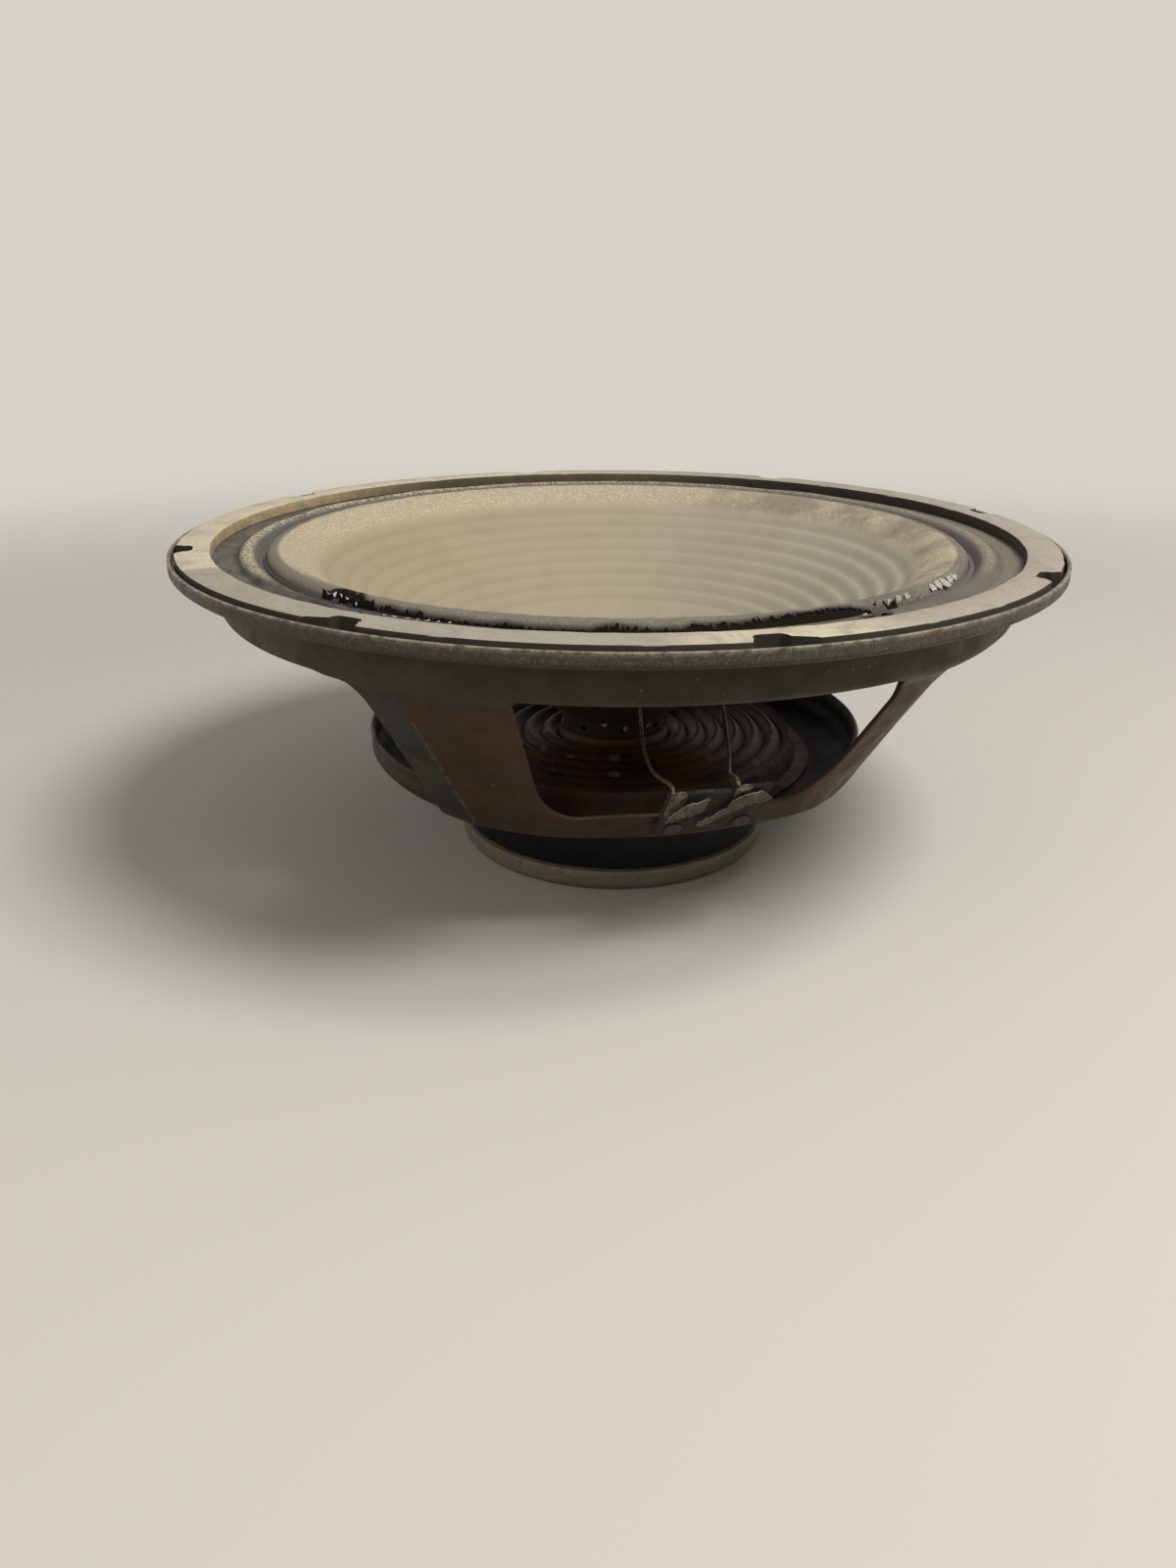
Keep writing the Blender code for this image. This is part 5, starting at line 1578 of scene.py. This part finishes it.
def makeResin():
    material, tree, shader, spot = newMaterial("resinCloth", 0.55, coat=0.1)
    shader.inputs["Specular IOR Level"].default_value = 0.35
    shader.inputs["Coat Roughness"].default_value = 0.4
    colours = resinTones
    ring = effect(tree, "ringSpace", Vector=spot, Around=0.12, Across=1.0, Upward=1.0)
    weave = effect(tree, "weave", Vector=spot, Pitch=0.0011)
    colour = mix(tree, mottle(tree, spot, 38, 0.4, 0.66), colours["red"], colours["dark"])
    colour = mix(tree, times(tree, weave["Mask"], 0.3), colour, colours["dark"])
    # the fold crests are painted grey-brown: dust, and a painted highlight on the crests
    crest = times(tree, painted(tree, "crest"), ramp(tree, ring["Radius"], 0.0660, 0.0600))
    dustAndHighlight = times(tree, crest, mottle(tree, spot, 46, 0.52, 0.64), 0.55)
    colour = mix(tree, dustAndHighlight, colour, colours["grey"])
    # pink specks are painted spots of light falling on the spider
    colour = mix(tree, times(tree, specks(tree, spot, 120, 0.34, 0.16), 0.7), colour, colours["pink"])
    colour = mix(tree, times(tree, specks(tree, spot, 95, 0.42, 0.12), 0.9), colour, colours["black"])
    glue = times(tree, ramp(tree, ring["Radius"], 0.0665, 0.0685),
                 mottle(tree, ring["Vector"], 260, 0.35, 0.62), ramp(tree, ring["Side"], 0.45, 0.7))
    colour = mix(tree, times(tree, glue, 0.75), colour, colours["glue"])
    dress(tree, shader, colour, None, weave["Height"], 0.0002, 0.6)
    return material


def makeSteel(name, base, worn, rust, roughness, metallic, turned=True):
    # zinc or plain steel, with turned lines round the axis and a little rust
    material, tree, shader, spot = newMaterial(name, roughness, metallic)
    ring = effect(tree, "ringSpace", Vector=spot, Around=0.02 if turned else 1.0, Across=1.0, Upward=1.0)
    colour = mix(tree, mottle(tree, ring["Vector"], 900, 0.38, 0.64), base, worn)
    colour = mix(tree, times(tree, mottle(tree, spot, 55, 0.46, 0.68), 0.6), colour, worn)
    rusty = times(tree, mottle(tree, spot, 36, 0.55, 0.68), mottle(tree, spot, 380, 0.4, 0.6))
    colour = mix(tree, times(tree, rusty, 0.8), colour, rust)
    colour = mix(tree, times(tree, specks(tree, spot, 300, 0.2, 0.2), 0.7), colour, rust)
    rough = ramp(tree, mottle(tree, spot, 160, 0.3, 0.7), 0, 1, roughness - 0.1, roughness + 0.12)
    height = mottle(tree, ring["Vector"], 1600, 0.2, 0.8)
    dress(tree, shader, colour, rough, height, 0.00012, 0.5)
    return material


def makeFerrite():
    material, tree, shader, spot = newMaterial("ferrite", 0.68)
    shader.inputs["Specular IOR Level"].default_value = 0.2
    colour = mix(tree, mottle(tree, spot, 60, 0.4, 0.66), tone(13, 16, 15), tone(22, 24, 22))
    colour = mix(tree, times(tree, specks(tree, spot, 700, 0.18, 0.15), 0.5), colour, tone(70, 68, 60))
    ring = effect(tree, "ringSpace", Vector=spot, Around=0.2, Across=0.4, Upward=1.0)
    streaks = times(tree, mottle(tree, ring["Vector"], 700, 0.55, 0.7), 0.3)
    colour = mix(tree, streaks, colour, tone(46, 46, 41))
    rough = ramp(tree, mottle(tree, spot, 220, 0.3, 0.7), 0, 1, 0.42, 0.66)
    dress(tree, shader, colour, rough, mottle(tree, spot, 1400, 0.2, 0.8), 0.00014, 0.5)
    return material


def makeFibreBoard():
    material, tree, shader, spot = newMaterial("fibreBoard", 0.8)
    colour = mix(tree, mottle(tree, spot, 190, 0.38, 0.62), tone(44, 42, 34), tone(24, 24, 20))
    colour = mix(tree, times(tree, mottle(tree, spot, 420, 0.55, 0.66), 0.75), colour, tone(96, 92, 76))
    colour = mix(tree, times(tree, specks(tree, spot, 380, 0.3, 0.3), 0.6), colour, tone(126, 120, 100))
    height = effect(tree, "fibre", Vector=spot, Scale=900.0)["Height"]
    dress(tree, shader, colour, None, height, 0.0007, 0.8)
    return material


def makeTapeCloth():
    material, tree, shader, spot = newMaterial("tapeCloth", 0.92)
    weave = effect(tree, "weave", Vector=spot, Pitch=0.0006)
    colour = mix(tree, mottle(tree, spot, 260, 0.36, 0.62), tone(196, 187, 164), tone(150, 144, 124))
    colour = mix(tree, times(tree, weave["Mask"], 0.25), colour, tone(70, 64, 50))
    colour = mix(tree, times(tree, mottle(tree, spot, 420, 0.60, 0.68), 0.6), colour, tone(50, 47, 38))
    height = calc(tree, "ADD", times(tree, weave["Height"], 0.4), mottle(tree, spot, 420, 0.2, 0.8))
    dress(tree, shader, colour, None, height, 0.0005, 0.7)
    return material


def makeBraid():
    # strands that cross round the lead, from its own UV
    material, tree, shader, spot = newMaterial("tinselBraid", 0.45, 0.5)
    length, turn, _ = parted(tree, addNode(tree, "ShaderNodeUVMap", uv_map="UVMap").outputs[0])
    along = times(tree, length, 2.2 * math.pi)
    around = times(tree, turn, 8 * math.pi)
    left = calc(tree, "SINE", calc(tree, "ADD", along, around))
    right = calc(tree, "SINE", calc(tree, "SUBTRACT", along, around))
    strands = calc(tree, "MAXIMUM", left, right)
    colour = mix(tree, ramp(tree, strands, -0.2, 0.9), tone(52, 44, 34), tone(158, 146, 122))
    colour = mix(tree, times(tree, mottle(tree, spot, 500, 0.45, 0.62), 0.5), colour, tone(70, 54, 36))
    dress(tree, shader, colour, None, strands, 0.00016, 0.8)
    return material


def makeWire(name, base, dark, roughness, metallic):
    material, tree, shader, spot = newMaterial(name, roughness, metallic)
    colour = mix(tree, mottle(tree, spot, 420, 0.38, 0.64), base, dark)
    colour = mix(tree, times(tree, specks(tree, spot, 900, 0.3, 0.3), 0.6), colour, dark)
    rough = ramp(tree, mottle(tree, spot, 700, 0.3, 0.7), 0, 1, roughness - 0.08, roughness + 0.14)
    dress(tree, shader, colour, rough, mottle(tree, spot, 1500, 0.2, 0.8), 0.0001, 0.5)
    return material


looks = {
    "zinc_steel": makeSteel("zincSteel", tone(138, 130, 108), tone(120, 112, 92), tone(94, 70, 46), 0.6,
                            0.25),
    "ferrite": makeFerrite(),
    "bronze_lacquer": makeLacquer(),
    "gasket_card": makeCard(),
    "doped_cloth": makeDopedCloth(),
    "cone_paper": makePulp(),
    "cap_paper": makePlainPaper("capPaper", tone(170, 156, 128), tone(132, 118, 92), 420, 0.0004),
    "resin_cloth": makeResin(),
    "former_paper": makePlainPaper("formerPaper", tone(66, 48, 34), tone(34, 26, 20), 300, 0.0002),
    "enamelled_copper": makeWire("enamelledCopper", tone(150, 84, 50), tone(84, 46, 30), 0.42, 0.8),
    "eyelet_brass": makeWire("eyeletBrass", tone(170, 146, 100), tone(96, 78, 50), 0.42, 0.9),
    "fibre_board": makeFibreBoard(),
    "tinned_brass": makeWire("tinnedBrass", tone(128, 122, 106), tone(66, 62, 52), 0.5, 0.7),
    "rivet_steel": makeSteel("rivetSteel", tone(92, 86, 74), tone(58, 54, 46), tone(84, 54, 34), 0.55,
                             0.6, False),
    "tape_cloth": makeTapeCloth(),
    "tinsel_braid": makeBraid(),
}
# near-black paper for the strips behind the surround's openings: painted shade
tornDark = makePlainPaper("tornDark", tone(20, 19, 16), tone(10, 10, 9), 500, 0.0004)
whiteFlake = makePlainPaper("whiteFlake", tone(236, 232, 220), tone(178, 172, 156), 900, 0.0002)

for piece in [*bpy.data.objects]:
    slotName = piece.get("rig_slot")
    if piece.type == "MESH" and slotName in looks:
        if not piece.data.materials:
            piece.data.materials.append(None)
        piece.data.materials[0] = looks[slotName]
for piece, extra in ((surroundCloth, whiteFlake), (surroundCloth, tornDark), (spiderCloth, whiteFlake)):
    piece.data.materials.append(extra)
# the CAD nodes that stay as they are
slotOf = {part["node"]: part["material_slot"] for part in frame["record"]["subparts"]}
for name in ("pole_piece", "coil_winding", *(f"floor_rivet_{number}" for number in range(1, 5))):
    for place in frame["nodes"][name].material_slots:
        place.material = looks[slotOf[name]]

print("stage and light")
# near and end are where the floor starts and ends to fade into the backdrop, in metres
floorTones = dict(seen=tone(205, 202, 195), bounce=tone(70, 68, 64), far=tone(215, 210, 199), near=0.30,
                  end=1.1, black=(0, 0, 0, 1), sky=(0.30, 0.29, 0.275, 1))
lightSizes = dict(
    keyLight=dict(place=(0.60, -0.45, 1.2), aim=(0, 0, 0.08), size=0.6, power=17, colour=(1.0, 0.975, 0.93)),
    fillLight=dict(place=(-0.9, -0.8, 0.7), aim=(0, 0, 0.06), size=1.0, power=2.6, colour=(1.0, 0.98, 0.95)))


def shownOnly(tree):
    # one for the camera, mirrors and glass, nothing for the light that bounces
    path = addNode(tree, "ShaderNodeLightPath")
    seen = calc(tree, "MAXIMUM", path.outputs["Is Camera Ray"], path.outputs["Is Glossy Ray"])
    return calc(tree, "MAXIMUM", seen, path.outputs["Is Transmission Ray"])


def makeFloor():
    material, tree, shader, spot = newMaterial("stagePale", 0.95)
    seen = shownOnly(tree)
    reach = calcVector(tree, "LENGTH", spot)["Value"]
    far = times(tree, ramp(tree, reach, floorTones["near"], floorTones["end"]), seen)
    colour = mix(tree, seen, floorTones["bounce"], floorTones["seen"])
    dress(tree, shader, mix(tree, far, colour, floorTones["black"]))
    shader.inputs["Specular IOR Level"].default_value = 0.0
    # far from the object the floor fades into the pale backdrop
    glow = mix(tree, far, floorTones["black"], floorTones["far"])
    tree.links.new(glow, shader.inputs["Emission Color"])
    shader.inputs["Emission Strength"].default_value = 1.0
    shape = bmesh.new()
    bmesh.ops.create_grid(shape, x_segments=1, y_segments=1, size=6)
    return makeObject("stageFloor", shape, material)


makeFloor()

world = bpy.data.worlds.new("studio")
bpy.context.scene.world = world
world.use_nodes = True
sky = world.node_tree
skyColour = mix(sky, shownOnly(sky), floorTones["sky"], floorTones["far"])
sky.links.new(skyColour, sky.nodes["Background"].inputs["Color"])
bpy.context.scene.view_settings.view_transform = "Standard"


def areaLight(name, place, aim, size, power, colour):
    lamp = bpy.data.lights.new(name, "AREA")
    lamp.shape = "DISK"
    lamp.size = size
    lamp.energy = power
    lamp.color = colour
    holder = bpy.data.objects.new(name, lamp)
    bpy.context.scene.collection.objects.link(holder)
    holder.location = place
    holder.rotation_euler = (Vector(aim) - Vector(place)).to_track_quat("-Z", "Y").to_euler()


for name, values in lightSizes.items():
    areaLight(name, **values)
